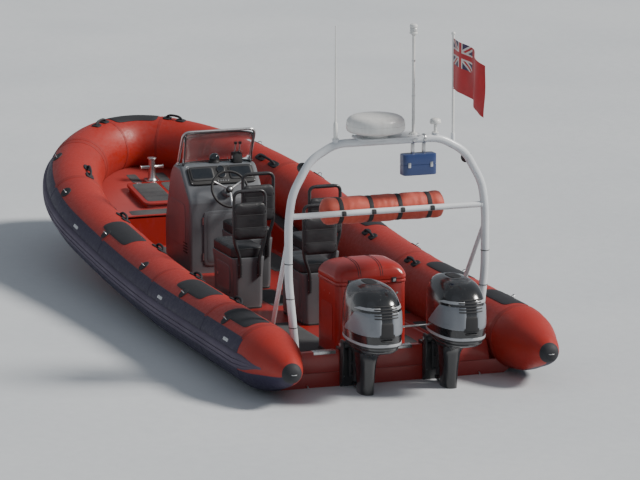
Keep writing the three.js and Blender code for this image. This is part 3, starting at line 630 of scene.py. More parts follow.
def clear_material():
    """Clear acrylic: nearly smooth, faintly tinted, with salt haze low down."""
    surface = Surface("clear_acrylic", coat=0.2, transmission=0.96, ior=1.3)
    haze = surface.noise(30, 6, 0.7, surface.scaled(1, 1, 0.5), 0.5, 0.8)
    colour = surface.tint((0.86, 0.92, 0.94), haze, 0.12, (0.7, 0.73, 0.74))
    return surface.finish(colour, surface.span(haze, 0, 1, 0.02, 0.2), surface.noise(6, 2), 0.0004, 0.1)


def display_material():
    """A dark screen with a little dust."""
    surface = Surface("display_glass", coat=0.8)
    dust = surface.noise(14, 5, 0.7, low=0.45, high=0.8)
    colour = surface.mix(dust, (0.008, 0.011, 0.016), (0.02, 0.023, 0.028))
    return surface.finish(colour, surface.span(dust, 0, 1, 0.06, 0.16), dust, 0.0001, 0.05)


def vinyl_material():
    """Coated seat cloth: fine leather grain, creases, polish where people sit."""
    surface = Surface("seat_vinyl", coat=0.05)
    grain = surface.node("ShaderNodeTexVoronoi", Scale=420.0, Vector=surface.place).outputs["Distance"]
    crease = surface.noise(17, 6, 0.7, surface.scaled(1, 0.5, 1))
    drift = surface.noise(3, 4, 0.6)
    colour = surface.mix(drift, (0.014, 0.015, 0.018), (0.03, 0.031, 0.035))
    colour = surface.tint(colour, crease, 0.25, (0.06, 0.06, 0.065))
    height = surface.plus(surface.times(grain, 0.5), surface.times(crease, 0.8))
    return surface.finish(colour, surface.span(drift, 0, 1, 0.42, 0.6), height, 0.0012, 0.35)


def flag_material():
    """Red ensign cloth with a navy canton by the hoist, crossed by pale and red bands."""
    surface = Surface("ensign_cloth", sheen=0.3)
    share = surface.node("ShaderNodeUVMap").outputs["UV"]
    along, up = surface.node("ShaderNodeSeparateXYZ", Vector=share).outputs[:2]

    def band(value, middle, half):
        away = surface.math("ABSOLUTE", surface.math("SUBTRACT", value, middle))
        return surface.math("LESS_THAN", away, half)

    along_canton = surface.times(along, 2.0)
    up_canton = surface.math("SUBTRACT", surface.times(up, 2.0), 1.0)
    inside = surface.times(surface.math("LESS_THAN", along, 0.5), surface.math("GREATER_THAN", up, 0.5))
    slants = [surface.math("MAXIMUM", band(surface.math("SUBTRACT", along_canton, up_canton), 0.0, half),
                           band(surface.plus(along_canton, up_canton), 1.0, half)) for half in (0.14, 0.049)]
    crosses = [surface.math("MAXIMUM", band(along_canton, 0.5, half * 0.6), band(up_canton, 0.5, half))
               for half in (0.17, 0.1)]
    red, white, navy = (0.52, 0.012, 0.018), (0.72, 0.7, 0.67), (0.012, 0.02, 0.09)
    canton = navy
    for stripe, paint in zip([*slants, *crosses], (white, red, white, red)):
        canton = surface.mix(stripe, canton, paint)
    colour = surface.mix(inside, red, canton)
    soil = surface.noise(6, 5, 0.6)
    colour = surface.tint(colour, soil, 0.28, (0.2, 0.05, 0.05))
    return surface.finish(colour, surface.span(soil, 0, 1, 0.7, 0.85), weave(surface, 0.0016), 0.0003, 0.5)


def floor_material():
    surface = Surface("pale_floor")
    drift = surface.noise(0.35, 4, 0.5)
    fine = surface.noise(9, 3, 0.5)
    colour = surface.mix(drift, (0.63, 0.66, 0.69), (0.68, 0.705, 0.73))
    return surface.finish(colour, surface.span(fine, 0, 1, 0.55, 0.7), fine, 0.002, 0.15)


def make_floor():
    mesh = bpy.data.meshes.new("floor")
    mesh.from_pydata([(x * FLOOR_HALF, y * FLOOR_HALF, 0) for x, y in ((-1, -1), (1, -1), (1, 1), (-1, 1))],
                     [], [(0, 1, 2, 3)])
    mesh.materials.append(floor_material())
    floor = new_object("floor", mesh)
    floor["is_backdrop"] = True


DEEP_RED = (0.22, 0.012, 0.01)
collar_red = cloth_material("collar_red", (0.4, 0.02, 0.01), DEEP_RED, 0.0035, 0.46)
# Navy cloth of the collar's flank; over the outboard face above the strake it is painted shade.
collar_navy_and_shade = cloth_material("collar_navy_and_shade", (0.022, 0.016, 0.052), (0.034, 0.028, 0.048), 0.0035, 0.52)
collar_tape = cloth_material("collar_tape", (0.31, 0.016, 0.009), DEEP_RED, 0.0025, 0.6)
strap_black = cloth_material("strap_black", (0.03, 0.03, 0.034), (0.06, 0.058, 0.055), 0.002, 0.8, 0.6)
strake_rubber = moulded_material("strake_rubber", (0.1, 0.08, 0.125), 0.62, 90, 0.0006, edge=0.3)
patch_rubber = moulded_material("patch_rubber", (0.02, 0.021, 0.026), 0.7, 160, 0.0005)
frame_paint = moulded_material("frame_paint", (0.7, 0.73, 0.76), 0.34, 240, 0.0002, coat=0.25)
white_plastic = moulded_material("white_plastic", (0.78, 0.79, 0.77), 0.36, 260, 0.0002, coat=0.2)
black_plastic = moulded_material("black_plastic", (0.018, 0.018, 0.02), 0.55, 420, 0.0003)
cast_black = moulded_material("cast_black", (0.022, 0.023, 0.026), 0.4, 160, 0.0005, coat=0.2)
clamp_paint = moulded_material("clamp_paint", (0.045, 0.047, 0.05), 0.42, 130, 0.0006, coat=0.15)
seam_piping = moulded_material("seam_piping", (0.03, 0.031, 0.034), 0.6, 300, 0.0003)
reflector = moulded_material("reflector", (0.7, 0.71, 0.72), 0.25, 700, 0.0002, metallic=0.5, edge=0.0)
steel = steel_material("stainless_steel")
screw_metal = steel_material("screw_metal", (0.5, 0.49, 0.47), 0.28)
hull_red = gelcoat_material("hull_red", (0.37, 0.016, 0.01), (0.2, 0.01, 0.008))
chine_white = gelcoat_material("chine_white", (0.72, 0.72, 0.7), (0.42, 0.42, 0.4))
bottom_navy = gelcoat_material("bottom_navy", (0.016, 0.022, 0.05), (0.03, 0.034, 0.045), 0.4)
console_grey = gelcoat_material("console_grey", (0.13, 0.137, 0.15), (0.075, 0.08, 0.09), 0.34)
pod_grey = gelcoat_material("pod_grey", (0.115, 0.12, 0.13), (0.06, 0.063, 0.07), 0.4)
engine_grey = sprayed_material("engine_grey", (0.2, 0.215, 0.24))
engine_silver = sprayed_material("engine_silver", (0.4, 0.41, 0.43), 0.3)
cabinet_blue = sprayed_material("cabinet_blue", (0.025, 0.05, 0.16), 0.3)
deck_tread = tread_material()
engine_black = engine_black_material()
anode_zinc = anode_material()
bag_cloth = bag_material()
radome_white = radome_material()
lamp_glass = lamp_material()
clear_acrylic = clear_material()
display_glass = display_material()
seat_vinyl = vinyl_material()
flag_cloth = flag_material()
make_floor()

# Collar

TUBE_RADIUS = 0.275
HALF_BEAM = 1.15
TIP_X = -4.15
STRAIGHT_X = 1.3
BOW_LENGTH = 2.57
BOW_END = STRAIGHT_X + BOW_LENGTH
AFT_Z = 0.3
BOW_Z = 0.85
SHEER_START = -1.5
SHEER_POWER = 1.7
CHAMBER_JOINT = 2.75
TRANSOM_X = -3.45
TUBE_SIDES = 64
TUBE_PITCH = 0.07
STRAKE_AFT = -3.86
# Sides of the tube counted up from outboard: the navy flank, whose upper part from the strake up is painted
# shade on the outboard face, and the navy band below the strake, which alone runs on under the cone.
NAVY_AND_SHADE_SIDES = [*range(7), *range(46, TUBE_SIDES)]
CONE_NAVY_BAND_SIDES = range(46, 61)
SHADE_FLANK_FROM = TRANSOM_X - 0.035
SHADE_EDGE = 360 * 7 / TUBE_SIDES

# Columns: distance, share of the radius, share of the strake.
CONE = [(TIP_X, 0.2, 0), (TIP_X + 0.025, 0.3, 0), (-3.85, 0.68, 0), (-3.63, 0.92, 0.5), (TRANSOM_X, 1, 1)]
# Columns: degrees round the tube from outboard, height over the tube.
STRAKE_SECTION = [
    (-14, -0.002), (-13, 0.012), (-11, 0.023), (-8, 0.026), (-5.4, 0.026), (-4.6, 0.019), (-3.4, 0.019),
    (-2.6, 0.026), (2.6, 0.026), (3.4, 0.019), (4.6, 0.019), (5.4, 0.026), (8, 0.026), (11, 0.023),
    (13, 0.012), (14, -0.002), (7, -0.006), (-7, -0.006),
]
SEAM_SECTION = [(-3, -0.002), (-2.6, 0.002), (2.6, 0.002), (3, -0.002)]
# Columns: distance along the grip from its middle, height.
GRIP = [(-0.1, 0.004), (-0.088, 0.022), (-0.06, 0.036), (0, 0.04), (0.06, 0.036), (0.088, 0.022),
        (0.1, 0.004)]
# Columns: distance, width.
SIDE_HOOPS = [(TRANSOM_X, 0.07), (-2.5, 0.05), (-1.0, 0.05), (0.5, 0.05), (1.9, 0.05), (2.71, 0.06)]
BOW_HOOPS = [(CHAMBER_JOINT + 0.04, 0.06), (BOW_END - 0.4, 0.05), (BOW_END + 0.4, 0.05),
             (2 * BOW_END - CHAMBER_JOINT - 0.04, 0.06)]
# Columns: distance, half-length.
WEAR_PATCHES = [(-3.05, 0.3), (-1.8, 0.34), (0.4, 0.34)]
HANDLES = [-2.35, -1.25, -0.15, 0.95, 2.05]
RING_PATCHES = [-2.9, -1.75, -0.6, 0.55, 1.7, 2.45]
VALVES = [-2.95, -0.7, 1.5]
REFLECTORS = [-3.15, -1.35, 1.2]
RING_DEGREES, HANDLE_DEGREES, PATCH_DEGREES, VALVE_DEGREES, REFLECTOR_DEGREES = 54, 118, 84, 158, 24


def tube_z(x):
    rise = max(0, (x - SHEER_START) / (BOW_END - SHEER_START))
    return AFT_Z + (BOW_Z - AFT_Z) * rise ** SHEER_POWER


def tube_y(x):
    return HALF_BEAM * sqrt(max(0, 1 - max(0, (x - STRAIGHT_X) / BOW_LENGTH) ** 2))


def tube_centre(distance):
    if distance <= STRAIGHT_X:
        return Vector((distance, HALF_BEAM, tube_z(distance)))
    turn = (distance - STRAIGHT_X) / BOW_LENGTH * pi / 2
    x = STRAIGHT_X + BOW_LENGTH * sin(turn)
    return Vector((x, HALF_BEAM * cos(turn), tube_z(x)))


def cone_share(distance, column=0):
    return 1.0 if distance >= TRANSOM_X else read_table(CONE, distance)[column]


def on_tube(distance, degrees, lift=0.0):
    """A point on the port half of the collar; past the bow it runs on down the starboard side."""
    ahead = (tube_centre(distance + 0.001) - tube_centre(distance - 0.001)).normalized()
    outboard = UP.cross(ahead).normalized()
    over = ahead.cross(outboard)
    turn = radians(degrees)
    reach = TUBE_RADIUS * cone_share(distance) + lift
    return tube_centre(distance) + outboard * (reach * cos(turn)) + over * (reach * sin(turn))


def on_side(side):
    """The same for a named side, 1 for port and -1 for starboard."""
    return lambda distance, degrees, lift=0.0: Vector((1, side, 1)) * on_tube(distance, degrees, lift)


def on_patch(place, distance, degrees):
    """A place function for a patch glued on the tube, its second direction round the tube."""
    return lambda a, b, height: place(distance + a, degrees + 360 * b / (tau * TUBE_RADIUS), height)


def tube_skin(place, start, end):
    distances = steps_between(start, end, TUBE_PITCH)

    # Forward of the cone the navy is carried up past the strake as painted shade; on the cone only the navy
    # band below the strake is kept.
    def shade(face):
        ring, side = divmod(face[0], TUBE_SIDES)
        return int(side in (NAVY_AND_SHADE_SIDES if distances[ring] > SHADE_FLANK_FROM else CONE_NAVY_BAND_SIDES))

    return Shape().rings([[place(distance, 360 * side / TUBE_SIDES) for side in range(TUBE_SIDES)]
                          for distance in distances], shade)


def strake(place, start, end):
    """The rubbing strake, which narrows and sinks into the cone at its aft end."""
    rings = []
    for distance in steps_between(max(start, STRAKE_AFT), end, TUBE_PITCH):
        width = 0.2 + 0.8 * smooth_step(distance, STRAKE_AFT, STRAKE_AFT + 0.3)
        rings.append([place(distance, degrees * width, rise * (cone_share(distance, 1) if rise > 0 else 1))
                      for degrees, rise in STRAKE_SECTION])
    return Shape().rings(rings)


def add_hoop(shape, place, middle, width):
    """A band of tape right round the tube."""
    section = [(-width / 2, -0.003), (-width / 2 + 0.003, 0.0022), (width / 2 - 0.003, 0.0022),
               (width / 2, -0.003)]
    rings = [[place(middle + along, 360 * side / TUBE_SIDES, lift) for along, lift in section]
             for side in range(TUBE_SIDES)]
    # Tape over the navy flank, painted shade included, is navy.
    shape.rings(rings, lambda face: int(face[0] // len(section) in NAVY_AND_SHADE_SIDES), looped=True)


def add_seam(shape, place, degrees, start, end):
    """A tape along the tube over the joint of two colours or panels."""
    shape.rings([[place(distance, degrees + turn, lift) for turn, lift in SEAM_SECTION]
                 for distance in steps_between(max(start, TRANSOM_X), end, TUBE_PITCH)], 1)


def dress_tube(name, place, start, end, hoops):
    skin = tube_skin(place, start, end)
    skin.piece(f"{name}_skin", [collar_red, collar_navy_and_shade], replaces=[name], slot="collar_fabric")
    strake(place, start, end).piece(f"{name}_strake", strake_rubber)
    tapes = Shape()
    for middle, width in hoops:
        add_hoop(tapes, place, middle, width)
    # Seam tapes at the top edge of the painted shade and at two joints lower in the navy.
    for degrees in (-33, SHADE_EDGE, 258):
        add_seam(tapes, place, degrees, start, end)
    tapes.piece(f"{name}_tapes", [collar_tape, collar_navy_and_shade])


def add_handle(shape, place, distance, degrees):
    """A moulded carrying handle: two feet and a grip between them."""
    for offset in (-0.085, 0.085):
        add_pad(shape, on_patch(place, distance + offset, degrees), 0.05, 0.04, 0.012, 4, 0.005)
    points = [place(distance + along, degrees, lift) for along, lift in GRIP]
    return shape.path(bent_path(points, 0.02, 0.01), 0.012, 14)


def add_lashing_ring(rubber, metal, place, distance):
    """A round patch with a wire hoop sewn to it."""
    add_pad(rubber, on_patch(place, distance, RING_DEGREES), 0.055, 0.055, 0.006, 2, 0.003)
    metal.path(arc(0, pi, 0.3, lambda along, lift: place(distance + 0.024 * along, RING_DEGREES,
                                                         0.004 + 0.028 * lift)), 0.0035, 8)


def add_valve(shape, place, distance):
    centre = place(distance, VALVE_DEGREES)
    outward = (place(distance, VALVE_DEGREES, 1) - centre).normalized()
    shape.turned([(0, 0), (0.05, 0), (0.046, 0.006), (0.03, 0.008), (0.028, 0.014), (0, 0.016)],
                 centre - outward * 0.002, outward, 28)


def add_tip(rubber, metal, side):
    """The cone's end cap with its towing loop."""
    tip = tube_centre(TIP_X) * Vector((1, side, 1))
    rubber.turned([(0, -0.1), (0.1, -0.1), (0.083, -0.026), (0.06, 0.006), (0.03, 0.016), (0, 0.018)],
                  tip, -AHEAD, 32)
    metal.path(arc(0, pi, 0.3, lambda across, aft: tip + Vector((-0.012 - 0.02 * aft, 0.024 * across, 0))),
               0.004, 8)


def dress_side(name, side):
    place = on_side(side)
    rubber, metal, strips = Shape(), Shape(), Shape()
    for distance in HANDLES:
        add_handle(rubber, place, distance, HANDLE_DEGREES)
    for distance, half_length in WEAR_PATCHES:
        add_pad(rubber, on_patch(place, distance, PATCH_DEGREES), half_length, 0.12, 0.004, 9, 0.002)
    for distance in RING_PATCHES:
        add_lashing_ring(rubber, metal, place, distance)
    for distance in VALVES:
        add_valve(rubber, place, distance)
    add_tip(rubber, metal, side)
    for distance in REFLECTORS:
        add_pad(strips, on_patch(place, distance, REFLECTOR_DEGREES), 0.06, 0.014, 0.0015, 9, 0.0008)
    rubber.piece(f"{name}_collar_rubber", patch_rubber)
    metal.piece(f"{name}_collar_rings", steel)
    strips.piece(f"{name}_reflectors", reflector)


def dress_bow():
    bow = Shape()
    for degrees, half_width, rise in ((-34, 0.11, 0.008), (34, 0.1, 0.006), (92, 0.12, 0.005)):
        add_pad(bow, on_patch(on_tube, BOW_END, degrees), 0.34, half_width, rise, 6, 0.003)
    for offset in (-0.55, 0.55):
        add_handle(bow, on_tube, BOW_END + offset, 96)
    bow.piece("bow_collar_rubber", patch_rubber)


def make_collar():
    for name, side in NAMED_SIDES:
        dress_tube(f"tube_{name}", on_side(side), TIP_X, CHAMBER_JOINT, SIDE_HOOPS)
        dress_side(name, side)
    dress_tube("tube_bow", on_tube, CHAMBER_JOINT, 2 * BOW_END - CHAMBER_JOINT, BOW_HOOPS)
    dress_bow()


make_collar()

# Hull and decks

DECK_UNDER_TUBE = 0.175
DECK_THICKNESS = 0.02
FLOOR_Z = 0.11
WELL_AFT, WELL_FORWARD, WELL_HALF, WELL_CORNER = -3.35, 2.25, 0.76, 0.12
KEEL_HALF = 0.045
CHINE_HALF = 0.95
STRIPE_HEIGHT = 0.05
TRANSOM_TOP = 0.31
TRANSOM_THICKNESS = 0.07
LOCKER_AFT, LOCKER_FORWARD, LOCKER_HALF, LOCKER_WALL = 2.46, 3.06, 0.31, 0.032
LOCKER_FLOOR = 0.215
LOCKER_RISE = 0.034
LID_OVERHANG, LID_TOP, HINGE_SETBACK = 0.014, 0.0255, 0.02
BOW_STATION = 3.84
POST_X = 3.23
# A section of the hull: ten points down each side and four round the hollow under the decks.
HULL_RING_POINTS = 24
STRIPE_SIDES, BOTTOM_SIDES = (2, 17), range(3, 17)
# Columns: x, keel z, chine half-width, chine z.
HULL_STATIONS = [
    (TRANSOM_X, -0.42, CHINE_HALF, -0.04), (-1.5, -0.42, CHINE_HALF, -0.04), (0, -0.42, CHINE_HALF, -0.036),
    (1.1, -0.412, 0.942, -0.008), (1.8, -0.368, 0.905, 0.052), (2.3, -0.3, 0.84, 0.125),
    (2.75, -0.19, 0.735, 0.215), (3.1, -0.055, 0.59, 0.315), (3.4, 0.125, 0.405, 0.42),
    (3.62, 0.305, 0.215, 0.495), (3.76, 0.47, 0.092, 0.565), (BOW_STATION, 0.572, 0.03, 0.6),
]
# Columns: share of the way from chine to keel, aft end, forward end.
SPRAY_RAILS = [(0.3, -3.4, 2.5), (0.62, -3.4, 2.1)]
# Columns: y, depth under the keel.
KEEL_BAND = [(-0.02, -0.0005), (-0.018, -0.003), (0.018, -0.003), (0.02, -0.0005), (0.02, 0.003),
             (-0.02, 0.003)]
# Columns: reach out from the well's wall, height over the deck.
WELL_RIM = [(0.03, -0.004), (0.022, 0.006), (0.012, 0.009), (0.003, 0.006), (0, -0.004)]
# Columns: reach in from the wall, height over the floor.
WELL_FILLET = [(0, 0.02), (-0.004, 0.006), (-0.014, 0)]
# Columns: inset, height, and whether over the sloping top or the locker's floor.
LOCKER_LEVELS = [
    (0, -0.03, False), (0, -0.006, True), (0.005, -0.0005, True), (LOCKER_WALL - 0.005, -0.0005, True),
    (LOCKER_WALL, -0.006, True), (LOCKER_WALL, 0.02, False), (LOCKER_WALL + 0.006, 0.005, False),
    (LOCKER_WALL + 0.02, 0, False),
]
# Columns: x, y, half-length, half-width.
DECK_TREADS = [(2.36, 0, 0.07, 0.5), (3.34, 0.145, 0.13, 0.05), (3.34, -0.145, 0.13, 0.05)]
DECK_TREADS += [(x, side * 0.86, 0.42, 0.07) for side in SIDES for x in (-2.25, -1.25, -0.25, 0.75, 1.7)]
FLOOR_TREADS = [
    (-3.14, 0, 0.15, 0.6), (-2.0, 0.38, 0.6, 0.2), (-2.0, -0.38, 0.6, 0.2), (-0.35, 0.0, 0.36, 0.12),
    (-0.4, 0.62, 1.0, 0.08), (-0.4, -0.62, 1.0, 0.08), (1.2, 0.56, 0.45, 0.14), (1.2, -0.56, 0.45, 0.14),
    (2.185, 0, 0.045, 0.5),
]
# Columns: radius, height.
POST = [(0.05, 0.02), (0.044, 0.03), (0.038, 0.045), (0.034, 0.14), (0.032, 0.222), (0.036, 0.226),
        (0.044, 0.23), (0.046, 0.236), (0.044, 0.242), (0.034, 0.246), (0, 0.247)]
POST_ARM = [(0.022, 0), (0.016, 0.012), (0.0155, 0.08), (0.02, 0.084), (0.021, 0.09), (0.017, 0.0935),
            (0, 0.094)]
CLEAT_RADII = [0.005, 0.0075, 0.009, 0.01, 0.011, 0.011, 0.011, 0.01, 0.009, 0.0075, 0.005]


def deck_z(x):
    return tube_z(x) - DECK_UNDER_TUBE


def deck_slope(x, reach=0.01):
    return atan2(deck_z(x + reach) - deck_z(x - reach), 2 * reach)


def deck_edge(x):
    return tube_y(x) - 0.13


LOCKER_SLOPE = atan2(deck_z(LOCKER_FORWARD) - deck_z(LOCKER_AFT), LOCKER_FORWARD - LOCKER_AFT)


def locker_top(x):
    return deck_z(LOCKER_AFT) + LOCKER_RISE + (x - LOCKER_AFT) * tan(LOCKER_SLOPE)


def hull_half(x):
    """Outer points of one side from the deck edge to the keel, as (y, z)."""
    keel_z, chine_y, chine_z = read_table(HULL_STATIONS, x)
    flat = 0.055 * chine_y / CHINE_HALF
    keel_half = KEEL_HALF * min(1.0, chine_y / 0.4)
    edge = (tube_y(x) - 0.1, deck_z(x))
    seat = (tube_y(x) - 0.04, tube_z(x) - 0.235)
    rise = min(0.32, STRIPE_HEIGHT / max(0.06, seat[1] - chine_z))
    stripe = (chine_y + (seat[0] - chine_y) * rise, chine_z + (seat[1] - chine_z) * rise)
    inner = (chine_y - flat, chine_z - 0.25 * flat)
    bottom = [(inner[0] + (keel_half - inner[0]) * share,
               inner[1] + (keel_z - inner[1]) * share - 0.012 * sin(pi * share))
              for share in (0.2, 0.4, 0.6, 0.8)]
    return [edge, seat, stripe, (chine_y, chine_z), inner, *bottom, (keel_half, keel_z)]


def well_half(x):
    """Half-width of the well's rim at x."""
    reach = min(x - WELL_AFT, WELL_FORWARD - x)
    if reach >= WELL_CORNER:
        return WELL_HALF
    return WELL_HALF - WELL_CORNER + sqrt(max(0, WELL_CORNER ** 2 - (WELL_CORNER - reach) ** 2))


def hull_hollow(x):
    """Half-width and bed height of the room under the decks at x, kept inside the outer skin."""
    if WELL_AFT - 0.01 < x < WELL_FORWARD + 0.015:
        return well_half(min(max(x, WELL_AFT), WELL_FORWARD)) + 0.012, FLOOR_Z - 0.012
    if LOCKER_AFT - 0.015 < x < LOCKER_FORWARD + 0.015:
        return LOCKER_HALF + 0.012, LOCKER_FLOOR - 0.035
    return min(0.3, 0.5 * (tube_y(x) - 0.1)), deck_z(x) - 0.004


def hull_ring(x):
    hollow_y, bed = hull_hollow(x)
    rim = deck_z(x) - 0.002
    section = both_sides(hull_half(x))
    section += [(-hollow_y, rim), (-hollow_y, bed), (hollow_y, bed), (hollow_y, rim)]
    return [(x, y, z) for y, z in section]


def hull_shade(face):
    """0 red topsides, 1 the pale stripe along the chine, 2 the dark bottom."""
    side = face[0] % HULL_RING_POINTS
    if side in STRIPE_SIDES:
        return 1
    return 2 if side in BOTTOM_SIDES else 0


def make_hull_shell():
    ends = [WELL_AFT - 0.01, WELL_FORWARD + 0.015, LOCKER_AFT - 0.015, LOCKER_FORWARD + 0.015]
    stations = {TRANSOM_X, *steps_between(-3.3, 3.3, 0.12), *steps_between(3.34, BOW_STATION, 0.03)}
    stations.update(x + offset for x in ends for offset in (-0.001, 0.001))
    for step in range(9):
        stations.update((WELL_AFT + WELL_CORNER * step / 8, WELL_FORWARD - WELL_CORNER * step / 8))
    shell = Shape().rings([hull_ring(x) for x in sorted(stations)], hull_shade)
    shell.piece("hull_shell", [hull_red, chine_white, bottom_navy], replaces=["hull"], slot="hull_gelcoat",
                sharp=24)


def make_bottom_rails():
    rails = Shape()
    for side in SIDES:
        for share, aft, forward in SPRAY_RAILS:
            rings = []
            for x in steps_between(aft, forward, 0.12):
                half = hull_half(x)
                (inner_y, inner_z), (keel_y, keel_z) = half[4], half[-1]
                y = inner_y + (keel_y - inner_y) * share
                z = inner_z + (keel_z - inner_z) * share - 0.012
                fade = 0.25 + 0.75 * smooth_step(forward - x, 0, 0.6)
                rings.append([(x, side * (y + across), z + up) for across, up in (
                    (-0.026, -0.026), (0.03 * fade, -0.022 * fade), (0.03 * fade, -0.012), (-0.02, 0.012))])
            rails.rings(rings)
    rails.piece("spray_rails", bottom_navy, sharp=30)
    stations = [*steps_between(-1.9, 3.3, 0.12), *steps_between(3.34, 3.6, 0.03)]
    band = Shape().rings([[(x, y, hull_half(x)[-1][1] + drop) for y, drop in KEEL_BAND] for x in stations])
    band.piece("keel_band", steel)


def well_loop():
    """Points round the well's rim: four straight runs and round corners."""
    middle, half_length = (WELL_FORWARD + WELL_AFT) / 2, (WELL_FORWARD - WELL_AFT) / 2
    corners = round_rectangle(half_length, WELL_HALF, WELL_CORNER, 6, 1)
    loop = []
    for start, end in zip(corners, corners[1:] + corners[:1]):
        shares = steps_between(0, 1, 0.09 / max(dist(start, end), 0.09))
        loop += [(middle + start[0] + (end[0] - start[0]) * share, start[1] + (end[1] - start[1]) * share)
                 for share in shares[:-1]]
    return loop


def make_well():
    loop = well_loop()

    def ring(grow, height):
        points = []
        for x, y in loop:
            away = Vector((x - min(max(x, WELL_AFT + 0.2), WELL_FORWARD - 0.2), y)).normalized() * grow
            points.append((x + away.x, y + away.y, height(x)))
        return points

    rings = [ring(0.01, lambda x: FLOOR_Z - 0.01), ring(0.01, lambda x: FLOOR_Z + 0.01)]
    rings += [ring(grow, lambda x: deck_z(x) + rise) for grow, rise in WELL_RIM]
    rings += [ring(grow, lambda x: FLOOR_Z + rise * min(1, (deck_z(x) - FLOOR_Z) / 0.05))
              for grow, rise in WELL_FILLET]
    Shape().rings(rings).piece("cockpit_tub", hull_red, slot="hull_gelcoat")


def deck_strip(shape, stations, inner, outer):
    """A slab of deck between two widths."""
    rings = []
    for x in stations:
        top, low = deck_z(x), deck_z(x) - DECK_THICKNESS
        rings.append([(x, outer(x), top), (x, inner(x), top), (x, inner(x), low), (x, outer(x), low)])
    return shape.rings(rings)


def make_decks():
    decks = Shape()
    wall_aft, wall_forward = LOCKER_AFT + LOCKER_WALL / 2, LOCKER_FORWARD - LOCKER_WALL / 2
    for start, end in ((TRANSOM_X + 0.004, WELL_AFT), (WELL_FORWARD, wall_aft), (wall_forward, 3.8)):
        deck_strip(decks, steps_between(start, end, 0.08), lambda x: -deck_edge(x), deck_edge)
    stations = [*steps_between(WELL_AFT, WELL_AFT + WELL_CORNER, 0.012), *steps_between(-3.2, 2.1, 0.08),
                *steps_between(WELL_FORWARD - WELL_CORNER, WELL_FORWARD, 0.012)]
    for side in SIDES:
        def outer(x):
            return side * deck_edge(x)

        deck_strip(decks, stations, lambda x: side * (well_half(x) + 0.01), outer)
        deck_strip(decks, steps_between(wall_aft, wall_forward, 0.08),
                   lambda x: side * (LOCKER_HALF - LOCKER_WALL / 2), outer)
    decks.piece("decks", hull_red, slot="hull_gelcoat")


def make_fore_locker():
    middle, half_length = (LOCKER_FORWARD + LOCKER_AFT) / 2, (LOCKER_FORWARD - LOCKER_AFT) / 2

    def ring(inset, height, sloped):
        return [(middle + x, y, (locker_top(middle + x) if sloped else LOCKER_FLOOR) + height)
                for x, y in rounded(half_length - inset, LOCKER_HALF - inset, 12, 64)]

    tub = Shape().rings([ring(*row) for row in LOCKER_LEVELS])
    tub.piece("fore_locker", hull_red, slot="hull_gelcoat")


def make_fore_lid():
    """The lid, laid out from its hinge line: a panel, two treads, hinges ahead and a latch aft."""
    hinge_x = LOCKER_FORWARD + HINGE_SETBACK * cos(LOCKER_SLOPE)
    place = on_slope((hinge_x, 0, locker_top(hinge_x)), LOCKER_SLOPE)
    top = shifted(place, 0, 0, LID_TOP)
    half_length = (LOCKER_FORWARD - LOCKER_AFT) / cos(LOCKER_SLOPE) / 2 + LID_OVERHANG
    middle = LID_OVERHANG - HINGE_SETBACK - half_length
    levels = [(0.012, 0.001), (0, 0.004), (0, 0.019), (0.003, 0.0235), (0.008, LID_TOP)]
    lid, tread, metal, latch = Shape(), Shape(), Shape(), Shape()
    lid.rings(inset_rings(shifted(place, middle), half_length, 0.324, 14, 72, levels))
    add_pads(tread, top, ((middle, -0.148), (middle, 0.148)), 0.27, 0.132, 0.0016, 12, 0.001)
    for side in (-0.2, 0.2):
        metal.path([place(0, side - 0.035, 0.001), place(0, side + 0.035, 0.001)], 0.006, 14)
        add_pad(metal, shifted(top, -0.035, side), 0.03, 0.03, 0.003, 6, 0.001)
        for bolt in (-0.012, 0.012):
            add_bolt(metal, top(-0.04, side + bolt, 0.003), place(0, 0, 1) - place(0, 0, 0), 0.004, 0.003)
    latch_x = middle - half_length + 0.05
    add_pad(latch, shifted(top, latch_x), 0.028, 0.05, 0.004, 4, 0.002)
    loop = both_sides([(-0.035, 0.03), (-0.03, 0.045)])
    latch.path(bent_path([place(latch_x, b, rise) for b, rise in loop], 0.012, 0.006), 0.0045, 10)
    lid.piece("fore_lid_panel", hull_red, "fore_lid", ["foredeck_lid"], "deck_tread")
    tread.piece("fore_lid_tread", deck_tread, "fore_lid")
    metal.piece("fore_lid_hinges", steel, "fore_lid")
    latch.piece("fore_lid_latch", black_plastic, "fore_lid")


def make_treads():
    treads, pad, metal = Shape(), Shape(), Shape()
    for x, y, half_length, half_width in DECK_TREADS:
        deck = on_slope((x, y, deck_z(x)), deck_slope(x))
        add_pad(treads, deck, half_length, half_width, 0.0018, 10, 0.001)
    for x, y, half_length, half_width in FLOOR_TREADS:
        add_pad(treads, level((x, y, FLOOR_Z)), half_length, half_width, 0.0018, 14, 0.001)
    treads.piece("deck_treads", deck_tread)
    add_pad(pad, level((1.95, 0, FLOOR_Z)), 0.17, 0.42, 0.006, 12, 0.002)
    pad.piece("kit_pad", deck_tread)
    for x in (1.82, 2.08):
        for y in (-0.37, 0, 0.37):
            metal.turned([(0, 0), (0.02, 0), (0.017, 0.002), (0.006, 0.0025), (0.005, 0)],
                         (x, y, FLOOR_Z + 0.0058), UP, 24)
    for side in SIDES:
        metal.turned([(0.028, -0.002), (0.032, 0.003), (0.024, 0.004), (0.022, 0.001)],
                     (-3.27, side * 0.5, FLOOR_Z), UP, 28)
    metal.piece("floor_fittings", steel)


